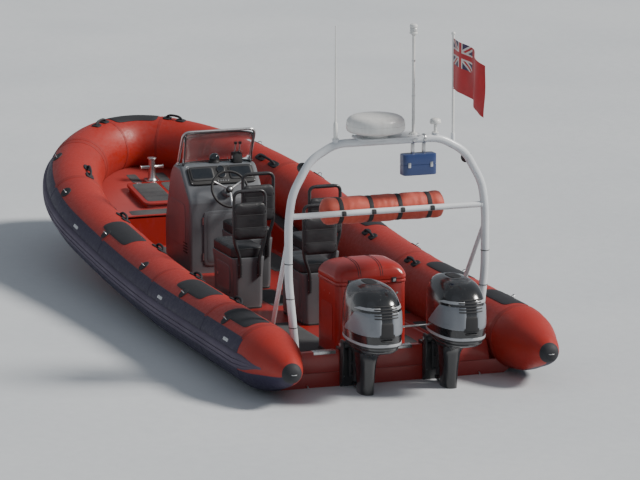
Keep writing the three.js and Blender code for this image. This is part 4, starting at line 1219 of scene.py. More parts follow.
def make_transom():
    """The motor board: a thick panel on the transom's top with metal caps, drains and towing eyes."""
    edge = [(0.88, deck_z(TRANSOM_X)), (0.866, 0.23), (0.855, 0.285), (0.835, TRANSOM_TOP - 0.004)]
    board = Shape().outline(both_sides(edge), TRANSOM_X, TRANSOM_X + TRANSOM_THICKNESS,
                            lambda y, z, x: Vector((x, y, z)), 0.006)
    board.piece("motor_board", hull_red, replaces=["transom_board"], slot="hull_gelcoat")
    metal = Shape()
    for y, half in ((-0.02, 0.15), (0.62, 0.1), (-0.62, 0.1)):
        metal.block((TRANSOM_X - 0.001, y - half, TRANSOM_TOP - 0.03),
                    (TRANSOM_X + TRANSOM_THICKNESS + 0.001, y + half, TRANSOM_TOP), 0.003)
    for side in SIDES:
        for y in (0.25, 0.5):
            add_bolt(metal, (TRANSOM_X + TRANSOM_THICKNESS, side * y, 0.2), AHEAD, 0.009, 0.008)
        metal.turned([(0.019, 0), (0.026, 0), (0.026, 0.006), (0.019, 0.008), (0.015, 0.004)],
                     (TRANSOM_X, side * 0.62, -0.2), -AHEAD, 24)
        eye = [(TRANSOM_X - reach, side * 0.78, z)
               for reach, z in ((0.002, 0.02), (0.028, 0.02), (0.028, -0.05), (0.002, -0.05))]
        metal.path(bent_path(eye, 0.02, 0.008), 0.006, 12)
    metal.piece("transom_metal", steel)


def make_post():
    """The towing post with its foot, cross bar and cap."""
    base = deck_z(POST_X)
    slope = deck_slope(POST_X, 0.07)
    post = Shape()
    add_pad(post, on_slope((POST_X, 0, base), slope), 0.07, 0.07, 0.022, 8, 0.005, 0.002)
    post.turned(POST, (POST_X, 0, base), UP, 40)
    for side in SIDES:
        post.turned(POST_ARM, (POST_X, side * 0.026, base + 0.15), PORT * side, 28)
    for a in (-0.052, 0.052):
        for b in (-0.052, 0.052):
            add_bolt(post, (POST_X + a, b, base + 0.022 + a * tan(slope)), UP, 0.007, 0.005)
    post.piece("towing_post_body", steel, replaces=["towing_post"], slot="stainless", sharp=30)


def make_bow_eye():
    eye, bolts = Shape(), Shape()
    eye.path(circle((3.518, 0, 0.15), AHEAD, UP, 0.031, 31), 0.011, 16, looped=True, up=PORT)
    eye.block((3.41, -0.008, 0.124), (3.492, 0.008, 0.176), 0.003)
    eye.block((3.43, -0.007, 0.11), (3.475, 0.007, 0.19), 0.005)
    eye.piece("bow_eye_ring", steel, replaces=["bow_eye"], slot="stainless")
    for z in (0.1, 0.205):
        add_bolt(bolts, (3.43 + (z - 0.15) * 0.75, 0.0, z), (0.8, 0, -0.6), 0.008, 0.01)
    bolts.piece("bow_eye_bolts", steel)


def make_cleats():
    metal = Shape()
    for side in SIDES:
        for x in (-3.05, 2.42):
            place = level((x, side * min(0.89, tube_y(x) - 0.2), deck_z(x)))
            for a in (-0.03, 0.03):
                metal.turned([(0.014, 0), (0.009, 0.01), (0.008, 0.03), (0.011, 0.04)],
                             place(a, 0, 0), UP, 16)
            horn = [place(a, 0, 0.042 + 2.1 * a * a) for a in steps_between(-0.1, 0.1, 0.02)]
            metal.path(horn, CLEAT_RADII, 14)
    metal.piece("deck_cleats", steel)


def make_well_hatches():
    """Hatches in the well's walls where these are high enough."""
    hatches = Shape()
    low = FLOOR_Z + 0.006
    for side in SIDES:
        for x in (-2.0, -0.5, 1.0):
            height = deck_z(x) - low
            if height > 0.06:
                wall = on_plane((x, side * (WELL_HALF - 0.0005), low + height / 2), (side, 0, 0), UP)
                add_pad(hatches, wall, 0.2, 0.35 * height, 0.004, 8, 0.002)
    hatches.piece("well_hatches", black_plastic)


def make_hull():
    make_hull_shell()
    make_bottom_rails()
    make_well()
    make_decks()
    make_fore_locker()
    make_fore_lid()
    make_treads()
    make_transom()
    make_post()
    make_bow_eye()
    make_cleats()
    make_well_hatches()


make_hull()

# Engines, each built about its tilt axis and then moved to its place

ENGINE_HALF_SPACING = 0.375
TILT_X, TILT_Z = -3.49, 0.365
STEER_AFT = 0.1
PROPELLER_X, PROPELLER_Z, PROPELLER_RADIUS, HUB_RADIUS = -0.53, -0.895, 0.18, 0.044
HOOK_THICKNESS = 0.018
ARM_REACH = 0.045
ARM_Z = 0.092
COWL_WALL = 0.012
COWL_BLUNT = 2.6
COWL_TOP = 0.606
CLAMP_HALF, CLAMP_PLATE = 0.114, 0.024
# Columns: z, front x, aft x, half-width.
HOUSING = [
    (-0.905, -0.19, -0.42, 0.014), (-0.78, -0.185, -0.43, 0.034), (-0.69, -0.182, -0.425, 0.046),
    (-0.48, -0.17, -0.395, 0.054), (-0.3, -0.158, -0.39, 0.062), (-0.06, -0.155, -0.42, 0.084),
    (0.02, -0.15, -0.52, 0.118), (0.062, -0.118, -0.735, 0.158), (0.092, -0.1, -0.768, 0.174),
    (0.0997, -0.1, -0.768, 0.174),
]
COWL = [
    (0.1, -0.095, -0.77, 0.178), (0.135, -0.078, -0.792, 0.2), (0.28, -0.072, -0.8, 0.206),
    (0.4, -0.076, -0.788, 0.204), (0.48, -0.088, -0.752, 0.192), (0.545, -0.112, -0.69, 0.168),
    (0.588, -0.16, -0.6, 0.126), (COWL_TOP, -0.23, -0.5, 0.074),
]
SKEG = [
    (-0.925, -0.232, -0.427, 0.007), (-0.97, -0.245, -0.436, 0.006), (-1.02, -0.258, -0.4445, 0.0055),
    (-1.08, -0.288, -0.437, 0.005), (-1.12, -0.31, -0.43, 0.0042), (-1.138, -0.335, -0.395, 0.003),
    (-1.1445, -0.352, -0.372, 0.0015),
]
SPRAY_PLATE = [(-0.62, -0.174, -0.462, 0.047), (-0.61, -0.17, -0.5, 0.052), (-0.602, -0.17, -0.5, 0.052),
               (-0.596, -0.174, -0.462, 0.048)]
# Columns: z, growth in length, growth in half-width over the cowling's last row.
CROWN = [(0.596, 0.03, 0.03), (0.602, 0.012, 0.012), (COWL_TOP, 0, 0), (COWL_TOP, -0.05, -0.045)]
# Columns: z, height over the skin.
COWL_BAND = [(0.128, -0.003), (0.13, 0.003), (0.137, 0.0042), (0.146, 0.0042), (0.153, 0.003),
             (0.155, -0.003)]
COWL_SEAM = [(0.112, 0.0012), (0.1175, 0.0012), (0.1175, -0.004), (0.112, -0.004)]
# Columns: z, degrees from dead ahead, height over the skin.
TILT_GRIP = [(0.19, 166, 0.0), (0.186, 170, 0.026), (0.186, 190, 0.026), (0.19, 194, 0.0)]
# Columns: radius, x.
GEARCASE = [(0.05, -0.468), (0.057, -0.44), (0.061, -0.4), (0.0625, -0.34), (0.063, -0.27), (0.056, -0.2),
            (0.046, -0.165), (0.038, -0.15), (0.027, -0.135), (0.018, -0.128), (0, -0.12)]
GEARCASE_END = [(0, -0.472), (0.04, -0.471), (0.052, -0.4665)]
HUB = [(0.0148, 0.056), (0.046, 0.056), (0.0495, 0.053), (0.05, 0.0), (0.0485, -0.045), (0.046, -0.068),
       (0.041, -0.07), (0.039, -0.055), (0.0148, -0.05), (0.0148, 0.056)]
# Columns: y, x.
CAVITATION_PLATE = both_sides([(0.05, -0.2), (0.105, -0.26), (0.12, -0.56), (0.095, -0.64)])
# Columns: x, z.
STEERING_ARM = [
    (-0.13, 0), (-0.07, 0), (-0.052, ARM_Z - 0.016), (ARM_REACH, ARM_Z - 0.016),
    (ARM_REACH + 0.017, ARM_Z - 0.012), (ARM_REACH + 0.017, ARM_Z), (-0.092, ARM_Z),
]
SWIVEL_WEB = [(-0.066, -0.27), (-0.034, -0.27), (-0.022, -0.06), (-0.02, -0.026), (-0.066, -0.02)]
# Columns: radius, distance along the tilt axis or the steering axis.
TILT_SLEEVE = [(0.0192, -0.09), (0.031, -0.09), (0.032, -0.088), (0.032, 0.088), (0.031, 0.09),
               (0.0192, 0.09), (0.0192, -0.09)]
STEER_SLEEVE = [
    (0.0252, -0.3), (0.04, -0.3), (0.042, -0.297), (0.042, -0.24), (0.039, -0.235), (0.039, -0.08),
    (0.042, -0.075), (0.042, -0.015), (0.04, -0.012), (0.0252, -0.012), (0.0252, -0.3),
]
BAR_EYE = [(0.0088, -0.009), (0.018, -0.009), (0.019, -0.007), (0.019, 0.007), (0.018, 0.009),
           (0.0088, 0.009), (0.0088, -0.009)]


def oval_ring(z, front, aft, half, sides=56, grow=0.0):
    middle, length = (front + aft) / 2, (front - aft) / 2
    return [(middle + x, y, z) for x, y in rounded(length + grow, half + grow, COWL_BLUNT, sides)]


def on_cowl(z, turn, lift):
    """A point on the cowling's skin; turn is in degrees from dead ahead."""
    front, aft, half = read_table(COWL, z)
    along, across = oval(radians(turn), COWL_BLUNT)
    return Vector(((front + aft) / 2 + ((front - aft) / 2 + lift) * along, (half + lift) * across, z))


def add_cowl_panel(shape, low, high, start, end, taper, lift=0.004, rows=14, shade=0):
    """A raised panel that follows the skin between two heights and two turns."""
    columns = 28
    rings = []
    for row in steps_between(0, 1, 1 / rows):
        z = low + (high - low) * row
        first = start + (end - start) * taper * row
        across = steps_between(first, end, abs(end - first) / columns)
        edge = lift * min(1.0, 8 * row, 8 * (1 - row)) if 0 < row < 1 else -0.002
        lifts = [-0.002, *[edge] * (columns - 1), -0.002]
        outer = [on_cowl(z, turn, over) for turn, over in zip(across, lifts)]
        rings.append(outer + [on_cowl(z, turn, -0.006) for turn in reversed(across)])
    return shape.rings(rings, shade)


def add_cowl_band(shape, section, shade=0):
    """A band right round the cowling."""
    rings = [[on_cowl(z, turn, lift) for z, lift in section] for turn in range(0, 360, 5)]
    shape.rings(rings, shade, looped=True)


def make_cowling(name, base):
    heights = (0.1, 0.106, 0.118, 0.135, *steps_between(0.155, 0.588, 0.018))
    outer = [oval_ring(z, *read_table(COWL, z)) for z in heights]
    front, aft, half = COWL[-1][1:]
    outer += [oval_ring(z, front + longer, aft - longer, half + wider) for z, longer, wider in CROWN]
    inner = [oval_ring(z - (COWL_WALL if z > 0.2 else 0), *read_table(COWL, z), grow=-COWL_WALL)
             for z in (0.56, 0.52, 0.46, 0.4, 0.3, 0.2, 0.1)]
    cowl = Shape().rings([*inner, *outer]).moved(base)
    cowl.piece(f"cowling_shell_{name}", engine_black, f"engine_{name}", [f"engine_cowling_{name}"],
               "engine_paint", 36)


def make_cowling_panels(name, base):
    """Grey side panels, the pale flash over each and the pale band round the foot."""
    trim = Shape()
    for hand in SIDES:
        add_cowl_panel(trim, 0.215, 0.42, hand * 66, hand * 168, 0.45)
        add_cowl_panel(trim, 0.434, 0.46, hand * 104, hand * 166, 0.3, 0.003, 8, 1)
    add_cowl_band(trim, COWL_BAND, 1)
    trim.moved(base).piece(f"cowling_panels_{name}", [engine_grey, engine_silver], f"engine_{name}")


def make_cowling_vents(name, base):
    """Vents and grip aft, the lid on top and the seam round the foot."""
    dark = Shape()
    for row in range(5):
        vent = [on_cowl(0.47 - 0.024 * row, turn, 0.001) for turn in steps_between(152, 208, 4)]
        dark.path(vent, 0.0065, 10)
    add_cowl_panel(dark, 0.2, 0.34, 160, 200, 0.15, 0.003)
    dark.path(bent_path([on_cowl(*spot) for spot in TILT_GRIP], 0.02, 0.008), 0.0075, 12)
    add_pad(dark, level((-0.37, 0, COWL_TOP)), 0.1, 0.05, 0.005, 4, 0.003)
    add_cowl_band(dark, COWL_SEAM)
    dark.moved(base).piece(f"cowling_vents_{name}", black_plastic, f"engine_{name}")


def make_leg(name, base):
    leg = Shape()
    heights = (*steps_between(-0.905, 0.0, 0.035), *steps_between(0.015, 0.0997, 0.012))
    leg.rings([oval_ring(z, *read_table(HOUSING, z), sides=40) for z in heights])
    for profile in (GEARCASE, GEARCASE_END):
        leg.turned(profile, (0, 0, PROPELLER_Z), AHEAD, 44)
    leg.outline(CAVITATION_PLATE, -0.695, -0.685, lambda y, x, z: Vector((x, y, z)), 0.003)
    leg.rings([[(front, 0, z), (front - 0.02, wide, z), (aft + 0.03, wide, z), (aft, 0.0015, z),
                (aft, -0.0015, z), (aft + 0.03, -wide, z), (front - 0.02, -wide, z)]
               for z, front, aft, wide in SKEG])
    leg.rings([oval_ring(*row, sides=40) for row in SPRAY_PLATE])
    leg.rod((-STEER_AFT, 0, -0.345), (-STEER_AFT, 0, 0.02), 0.024, 24)
    leg.block((-0.2, -0.046, -0.006), (-0.06, 0.046, 0.034), 0.008, segments=3)
    leg.block((-0.2, -0.044, -0.346), (-0.066, 0.044, -0.306), 0.008, segments=3)
    leg.outline(STEERING_ARM, -0.02, 0.02, upright(), 0.004)
    leg.rod((ARM_REACH, 0, ARM_Z - 0.004), (ARM_REACH, 0, ARM_Z + 0.03), 0.0078, 20)
    leg.moved(base).piece(f"leg_casting_{name}", engine_black, f"engine_{name}", [f"engine_leg_{name}"],
                          "engine_metal", 32)


def make_leg_details(name, base):
    """Water intakes, bolts and the seal under the cowling; shaft, nuts and anode."""
    detail, metal, zinc = Shape(), Shape(), Shape()
    for hand in SIDES:
        for row in range(4):
            z = -0.78 - 0.022 * row
            detail.box((-0.2725, hand * 0.96 * read_table(HOUSING, z)[2], z), (0.0375, 0.004, 0.006), 0.002)
        for x, z in ((-0.22, -0.02), (-0.34, -0.02), (-0.21, -0.52), (-0.36, -0.52)):
            add_bolt(detail, (x, hand * 0.93 * read_table(HOUSING, z)[2], z), PORT * hand, 0.008, 0.008)
        round_foot = steps_between(hand * 20, hand * 175, 5)
        detail.path([on_cowl(0.1, turn, -0.006) - UP * 0.012 for turn in round_foot], 0.006, 8)
    metal.rod((-0.46, 0, PROPELLER_Z), (PROPELLER_X - 0.092, 0, PROPELLER_Z), 0.014, 24)
    metal.turned([(0.022, 0), (0.022, 0.018), (0.018, 0.022), (0, 0.022)],
                 (PROPELLER_X - 0.076, 0, PROPELLER_Z), -AHEAD, 6)
    metal.turned([(0.0135, 0), (0.0135, 0.004), (0.008, 0.006)], (ARM_REACH, 0, ARM_Z + 0.0205), UP, 6)
    zinc.block((-0.62, -0.028, -0.722), (-0.5, 0.028, -0.694), 0.008, segments=3)
    detail.moved(base).piece(f"leg_details_{name}", black_plastic, f"engine_{name}")
    metal.moved(base).piece(f"leg_metal_{name}", steel, f"engine_{name}")
    zinc.moved(base).piece(f"leg_anode_{name}", anode_zinc, f"engine_{name}")


def make_clamp(name, base):
    """The clamp bracket: a hook over the transom board and two ears with the tilt pin."""
    back = TRANSOM_X - TILT_X - 0.0003
    front = back + 0.0706
    top = TRANSOM_TOP - TILT_Z + 0.0003
    clamp, metal = Shape(), Shape()
    for aft, forward, low, bevel in ((back - CLAMP_PLATE, back, -0.4, 0.003),
                                     (back - CLAMP_PLATE, front + CLAMP_PLATE, top, 0.004),
                                     (front, front + CLAMP_PLATE, top - 0.13, 0.004)):
        clamp.block((aft, -CLAMP_HALF, low), (forward, CLAMP_HALF, top + HOOK_THICKNESS), bevel)
    ear = [(back - 0.02, -0.33), (-0.02, -0.33), (-0.048, -0.12), (-0.046, 0), (-0.04, 0.018),
           (-0.032, 0.032), (-0.017, 0.041), (0, 0.044), (0.017, 0.041), (0.032, 0.032), (back, 0)]
    for hand in SIDES:
        clamp.outline(ear, hand * 0.105 - 0.009, hand * 0.105 + 0.009, upright(), 0.003)
        clamp.turned([(0.03, 0), (0.03, 0.004), (0.024, 0.006), (0.012, 0.006)], (0, hand * 0.1135, 0),
                     PORT * hand, 28)
        for row in range(4):
            z = -0.09 - 0.06 * row
            clamp.block((-0.03, hand * CLAMP_HALF - 0.003, z - 0.004),
                        (back - 0.026, hand * CLAMP_HALF + 0.002, z + 0.004), 0.001)
        clamp.block((back - 0.03, hand * 0.052 - 0.005, -0.39),
                    (back - 0.02, hand * 0.052 + 0.005, -0.345), 0.002)
        for z in (-0.008, -0.068):
            add_bolt(metal, (front + CLAMP_PLATE, hand * 0.085, top + z), AHEAD, 0.01, 0.008)
        metal.turned([(0.017, 0), (0.017, 0.01), (0.01, 0.012), (0, 0.012)],
                     (0, hand * 0.119, 0), PORT * hand, 6)
        for z in (-0.2, -0.28, -0.37):
            add_bolt(metal, (back - CLAMP_PLATE, hand * 0.088, z), -AHEAD, 0.007, 0.005)
    clamp.rod((0, -0.113, 0), (0, 0.113, 0), 0.018, 28)
    clamp.moved(base).piece(f"clamp_casting_{name}", clamp_paint, "boat", [f"clamp_bracket_{name}"],
                            "cast_paint")
    metal.moved(base).piece(f"clamp_bolts_{name}", steel)


def make_swivel(name, base):
    """The swivel bracket: a sleeve on the tilt pin, one on the steering shaft, and webs between."""
    swivel = Shape()
    swivel.turned(TILT_SLEEVE, (0, 0, 0), PORT, 36)
    swivel.turned(STEER_SLEEVE, (-STEER_AFT, 0, 0), UP, 36)
    for low, high in ((-0.06, -0.042), (-0.008, 0.008), (0.042, 0.06)):
        swivel.outline(SWIVEL_WEB, low, high, upright(), 0.003)
    for z in (-0.255, -0.15, -0.05):
        swivel.block((-0.074, -0.055, z - 0.007), (-0.034 + 0.012 * (z > -0.1), 0.055, z + 0.007), 0.002)
    swivel.moved(base).piece(f"swivel_casting_{name}", clamp_paint, f"swivel_{name}",
                             [f"swivel_bracket_{name}"], "cast_paint")


def blade_ring(share, about):
    """One section of a propeller blade, from its root (0) to its tip (1)."""
    radius = HUB_RADIUS + (PROPELLER_RADIUS - 0.001 - HUB_RADIUS) * share
    chord = 0.034 + 0.038 * sin(pi * min(1, 0.12 + 0.72 * share)) * (1 - 0.75 * share ** 5)
    pitch = atan2(0.068, radius) * 0.95
    thick = 0.0075 * (1 - 0.72 * share)
    ring = []
    for turn in turns(20):
        along = chord * cos(turn)
        over = thick * sin(turn) + 0.006 * cos(turn) ** 2 * share
        ring.append(about @ Vector((along * sin(pitch) + over * cos(pitch),
                                    along * cos(pitch) - over * sin(pitch), radius)))
    return ring


def make_screw(name, base):
    """A three-bladed propeller: cupped, twisted blades on a hollow hub."""
    screw = Shape().turned(HUB, (0, 0, 0), AHEAD, 40)
    for turn in turns(3):
        about = Matrix.Rotation(turn, 3, "X")
        screw.rings([blade_ring(share, about) for share in steps_between(0, 1, 0.1)])
    screw.moved(base + Vector((PROPELLER_X, 0, PROPELLER_Z)))
    screw.piece(f"screw_blades_{name}", screw_metal, f"screw_{name}", [f"propeller_{name}"],
                "propeller_metal", 50)


def make_powerhead(name, base):
    """The block under the cowling, seen only past its lower edge when the engine is tilted."""
    block = Shape()
    block.block((-0.67, -0.12, 0.1), (-0.19, 0.12, 0.33), 0.012)
    block.block((-0.6, -0.1, 0.33), (-0.26, 0.1, 0.45), 0.02)
    for row in range(3):
        x = -0.6 + 0.14 * row
        for hand in SIDES:
            block.rod((x, hand * 0.09, 0.38), (x, hand * 0.12, 0.42), 0.022, 20)
    block.turned([(0.095, 0), (0.1, 0.006), (0.1, 0.016), (0.03, 0.02), (0, 0.02)], (-0.34, 0, 0.45), UP, 40)
    block.moved(base).piece(f"powerhead_block_{name}", cast_black, f"engine_{name}", [f"powerhead_{name}"])


def make_tie_bar():
    place = level((TILT_X + ARM_REACH, 0, TILT_Z + ARM_Z + 0.011))
    reach = ENGINE_HALF_SPACING
    bar = Shape().rod(place(0, reach - 0.012, 0), place(0, -reach + 0.012, 0), 0.009, 20)
    for side in SIDES:
        bar.turned(BAR_EYE, place(0, side * reach, 0), UP, 32)
        nut = place(0, side * (reach - 0.03), 0)
        bar.turned([(0.0125, 0), (0.0125, 0.03), (0.01, 0.032)], nut, -PORT * side, 6)
    bar.piece("tie_bar_rod", steel, "tie", ["tie_bar"], "stainless")


def make_engines():
    builders = (make_cowling, make_cowling_panels, make_cowling_vents, make_leg, make_leg_details,
                make_clamp, make_swivel, make_screw, make_powerhead)
    for name, side in NAMED_SIDES:
        for build in builders:
            build(name, Vector((TILT_X, side * ENGINE_HALF_SPACING, TILT_Z)))
    make_tie_bar()


make_engines()

# Roll frame and what it carries

FRAME_X = -3.3
FRAME_TUBE, CROSSBAR_RADIUS, BRACE_RADIUS = 0.035, 0.026, 0.02
FOOT_Y, WIDE_Y = 0.83, 0.89
FRAME_TOP = 2.05
CROSSBAR_Z = 1.45
PLATE_TOP = FRAME_TOP + FRAME_TUBE + 0.007
PLATE_THICKNESS = 0.014
PLATE_HALF_X, PLATE_HALF_Y = 0.14, 0.29
RADOME_Y, DOME_Y, AERIAL_Y, MAST_Y, STAFF_Y = 0.11, -0.43, 0.47, -0.23, -0.59
STAFF_FOOT = 2.08
BRACE_TOP, BRACE_FOOT_X, BRACE_FOOT_Y = 1.3, -2.56, 0.815
FRAME_FOOT = deck_z(FRAME_X) + SEAT_GAP
# Half of the arch from foot to crown. Columns: y, z.
ARCH = [(FOOT_Y, 0.132), (FOOT_Y + 0.002, 0.33), (WIDE_Y, 0.9), (WIDE_Y, 1.4), (0.858, 1.64), (0.7, 1.92),
        (0.47, FRAME_TOP)]
GUSSET = [(0.03, 0), (0.05, 0), (0.032, 0.11), (0.03, 0.11)]
# Foot plates. Columns: x, y, half-length, half-width, and the bolts' distances from the middle.
FOOT_PLATES = [(FRAME_X, FOOT_Y - 0.002, 0.06, 0.056, 0.046, 0.042),
               (BRACE_FOOT_X, BRACE_FOOT_Y, 0.05, 0.045, 0.037, 0.033)]
CABINET_Y, CABINET_HALF_X, CABINET_HALF_Y, CABINET_LOW, CABINET_HIGH = -0.275, 0.06, 0.15, 1.745, 1.925
# Columns: radius, height.
RADOME = [
    (0, 0), (0.108, 0), (0.11, 0.003), (0.11, 0.025), (0.15, 0.03), (0.2, 0.036), (0.228, 0.043),
    (0.243, 0.055), (0.249, 0.07), (0.25, 0.085), (0.2495, 0.104), (0.2465, 0.106), (0.2465, 0.11),
    (0.249, 0.112), (0.247, 0.13), (0.241, 0.146), (0.226, 0.163), (0.2, 0.177), (0.165, 0.185),
    (0.11, 0.1895), (0.05, 0.1915), (0, 0.192),
]
DOME = [
    (0, 0), (0.03, 0), (0.03, 0.006), (0.014, 0.01), (0.013, 0.07), (0.022, 0.0735), (0.044, 0.078),
    (0.0465, 0.082), (0.048, 0.09), (0.0478, 0.1), (0.044, 0.112), (0.034, 0.1215), (0.018, 0.1265),
    (0, 0.128),
]
AERIAL = [
    (0, 0), (0.0185, 0), (0.019, 0.01), (0.0175, 0.016), (0.0175, 0.05), (0.019, 0.054), (0.0175, 0.13),
    (0.0125, 0.138), (0.008, 0.15), (0.0072, 0.3), (0.0065, 0.5), (0.0054, 0.75), (0.0045, 0.94),
    (0.0048, 0.946), (0.0048, 0.958), (0, 0.962),
]
MAST = [
    (0, 0), (0.036, 0), (0.036, 0.008), (0.033, 0.0105), (0.018, 0.016), (0.0135, 0.024), (0.013, 0.2),
    (0.013, 0.846), (0.024, 0.85), (0.034, 0.856), (0.034, 0.868), (0.03, 0.872), (0.03, 0.909),
    (0.034, 0.913), (0.034, 0.925), (0.031, 0.934), (0.021, 0.9405), (0, 0.942),
]
MAST_LENS = [(0.0295, 0.8725), (0.0315, 0.875), (0.0315, 0.9065), (0.0295, 0.909)]
STAFF = [(0, 0), (0.011, 0), (0.011, 0.84), (0.0155, 0.843), (0.018, 0.849), (0.0165, 0.858), (0.009, 0.865),
         (0, 0.866)]
GEAR = [("radome", RADOME, RADOME_Y, radome_white), ("position_dome", DOME, DOME_Y, white_plastic),
        ("aerial", AERIAL, AERIAL_Y, white_plastic), ("light_mast", MAST, MAST_Y, white_plastic)]
GEAR_SOCKET = [(0.026, 0), (0.027, 0.036), (0.031, 0.038), (0.032, 0.0405), (0.0315, 0.042), (0, 0.042)]
STAFF_SOCKET = [(0.014, 0), (0.018, 0.003), (0.018, 0.117), (0.016, 0.12), (0, 0.12)]
BAG_RADIUS = 0.118
BAG_HALF = 0.56
BAG_X = FRAME_X + 0.026 + BAG_RADIUS - 0.009
BAG_STRAPS = (-0.4, -0.13, 0.13, 0.4)
STRAP_RADIUS, BUCKLE_TURN = 0.1115, 0.6
FLAG_LENGTH, FLAG_HEIGHT, FLAG_TOP = 0.7, 0.43, 2.89
FLAG_WAVE, FLAG_DROOP, FLAG_THICKNESS = 0.042, 0.13, 0.0045
FLAG_COLUMNS, FLAG_ROWS = 90, 54


def add_weld(shape, centre, axis, radius, width=0.006):
    """A rippled bead of weld where one tube meets another."""
    axis, first, second = directions_about(axis)
    rings = []
    for turn in turns(48):
        out = first * cos(turn) + second * sin(turn)
        size = width * (1 + 0.14 * sin(24 * turn))
        middle = Vector(centre) + out * radius
        rings.append([middle + out * (size * 0.55 * cos(corner)) + axis * (size * sin(corner))
                      for corner in (0, 1.05, 2.1, 3.14, 4.19, 5.24)])
    return shape.rings(rings, looped=True)


def add_frame_side(arch, side):
    """One side's brace, its welds, foot plates and gussets."""
    top = Vector((FRAME_X, side * (WIDE_Y - 0.002), BRACE_TOP))
    low = Vector((BRACE_FOOT_X, side * BRACE_FOOT_Y, FRAME_FOOT + 0.012))
    down = (low - top).normalized()
    arch.path([top, low], BRACE_RADIUS, 24)
    add_weld(arch, top + down * 0.037, down, BRACE_RADIUS)
    add_weld(arch, low - down * 0.007, -down, BRACE_RADIUS, 0.005)
    add_weld(arch, (FRAME_X, side * (WIDE_Y - 0.036), CROSSBAR_Z), PORT, CROSSBAR_RADIUS + 0.0005)
    add_weld(arch, (FRAME_X, side * FOOT_Y, FRAME_FOOT + 0.015), UP, FRAME_TUBE)
    for x, y, long, wide, _, _ in FOOT_PLATES:
        arch.outline(rounded(long, wide, 9, 40), FRAME_FOOT, FRAME_FOOT + PLATE_THICKNESS,
                     level((x, side * y, 0)), 0.0025)
    for lean in (1, -1):
        foot = Vector((FRAME_X, side * FOOT_Y, FRAME_FOOT + PLATE_THICKNESS))
        arch.outline([(lean * x, z) for x, z in GUSSET], -0.003, 0.003, upright(foot), 0.001)


def make_roll_frame():
    across = [(FRAME_X, y, z) for y, z in both_sides(ARCH)]
    arch = Shape().path(bent_path(across, 0.095, 0.03), FRAME_TUBE, 28, up=AHEAD)
    arch.rod((FRAME_X, -WIDE_Y, CROSSBAR_Z), (FRAME_X, WIDE_Y, CROSSBAR_Z), CROSSBAR_RADIUS, 28)
    arch.outline(rounded(PLATE_HALF_X, PLATE_HALF_Y, 9, 56), PLATE_TOP - PLATE_THICKNESS, PLATE_TOP,
                 level((FRAME_X, 0, 0)), 0.003)
    arch.outline(rounded(0.022, 0.022, 9, 24), PLATE_TOP - 0.007, PLATE_TOP + 0.006,
                 level((-3.412, -0.252, 0)), 0.001)
    for y in (DOME_Y, AERIAL_Y):
        arch.turned(GEAR_SOCKET, (FRAME_X, y, FRAME_TOP), UP, 32)
    arch.turned(STAFF_SOCKET, (FRAME_X, STAFF_Y, 1.96), UP, 28)
    for side in SIDES:
        add_frame_side(arch, side)
    for x in (-0.05, 0.05):
        for y in (-0.2, 0.05, 0.2):
            arch.block((FRAME_X + x - 0.004, y - 0.03, FRAME_TOP + 0.012),
                       (FRAME_X + x + 0.004, y + 0.03, PLATE_TOP - 0.008), 0.001)
    arch.piece("arch", frame_paint, replaces=["roll_frame"], slot="frame_paint", sharp=38)


def make_frame_bolts():
    bolts = Shape()
    for side in SIDES:
        for x, y, _, _, along, across in FOOT_PLATES:
            for a in (-along, along):
                for b in (-across, across):
                    add_bolt(bolts, (x + a, side * y + b, FRAME_FOOT + PLATE_THICKNESS), UP, 0.0065, 0.006)
    for x in (-0.12, 0.12):
        for y in (-0.27, -0.14, 0.27):
            add_bolt(bolts, (FRAME_X + x, y, PLATE_TOP), UP, 0.006, 0.005)
    bolts.piece("frame_bolts", steel)


def make_frame_lamps():
    """Small work lamps and the wiring run's saddle clips on the arch."""
    lamps, glass = Shape(), Shape()
    for side in (-1, 1):
        place = level((FRAME_X + 0.034, side * 0.74, 1.86))
        base, axis = place(0, 0, 0), (1, 0, -0.25)
        lamps.block(place(-0.006, -0.03, -0.03), place(0.004, 0.03, 0.03), 0.003)
        lamps.turned([(0, 0), (0.034, 0.002), (0.042, 0.02), (0.044, 0.05), (0.04, 0.055)], base, axis, 32)
        glass.turned([(0, 0.052), (0.036, 0.052), (0.037, 0.057), (0.02, 0.061), (0, 0.062)], base, axis, 32)
        for height in (0.5, 0.75, 1.05):
            y = min(WIDE_Y, FOOT_Y + 0.002 + (WIDE_Y - FOOT_Y) * (height - 0.33) / 0.57)
            lamps.path(circle((FRAME_X, side * y, height), AHEAD, PORT, 0.0362, 21), 0.0035, 6, looped=True)
    lamps.piece("frame_lamps", black_plastic)
    glass.piece("frame_lamp_glass", lamp_glass)


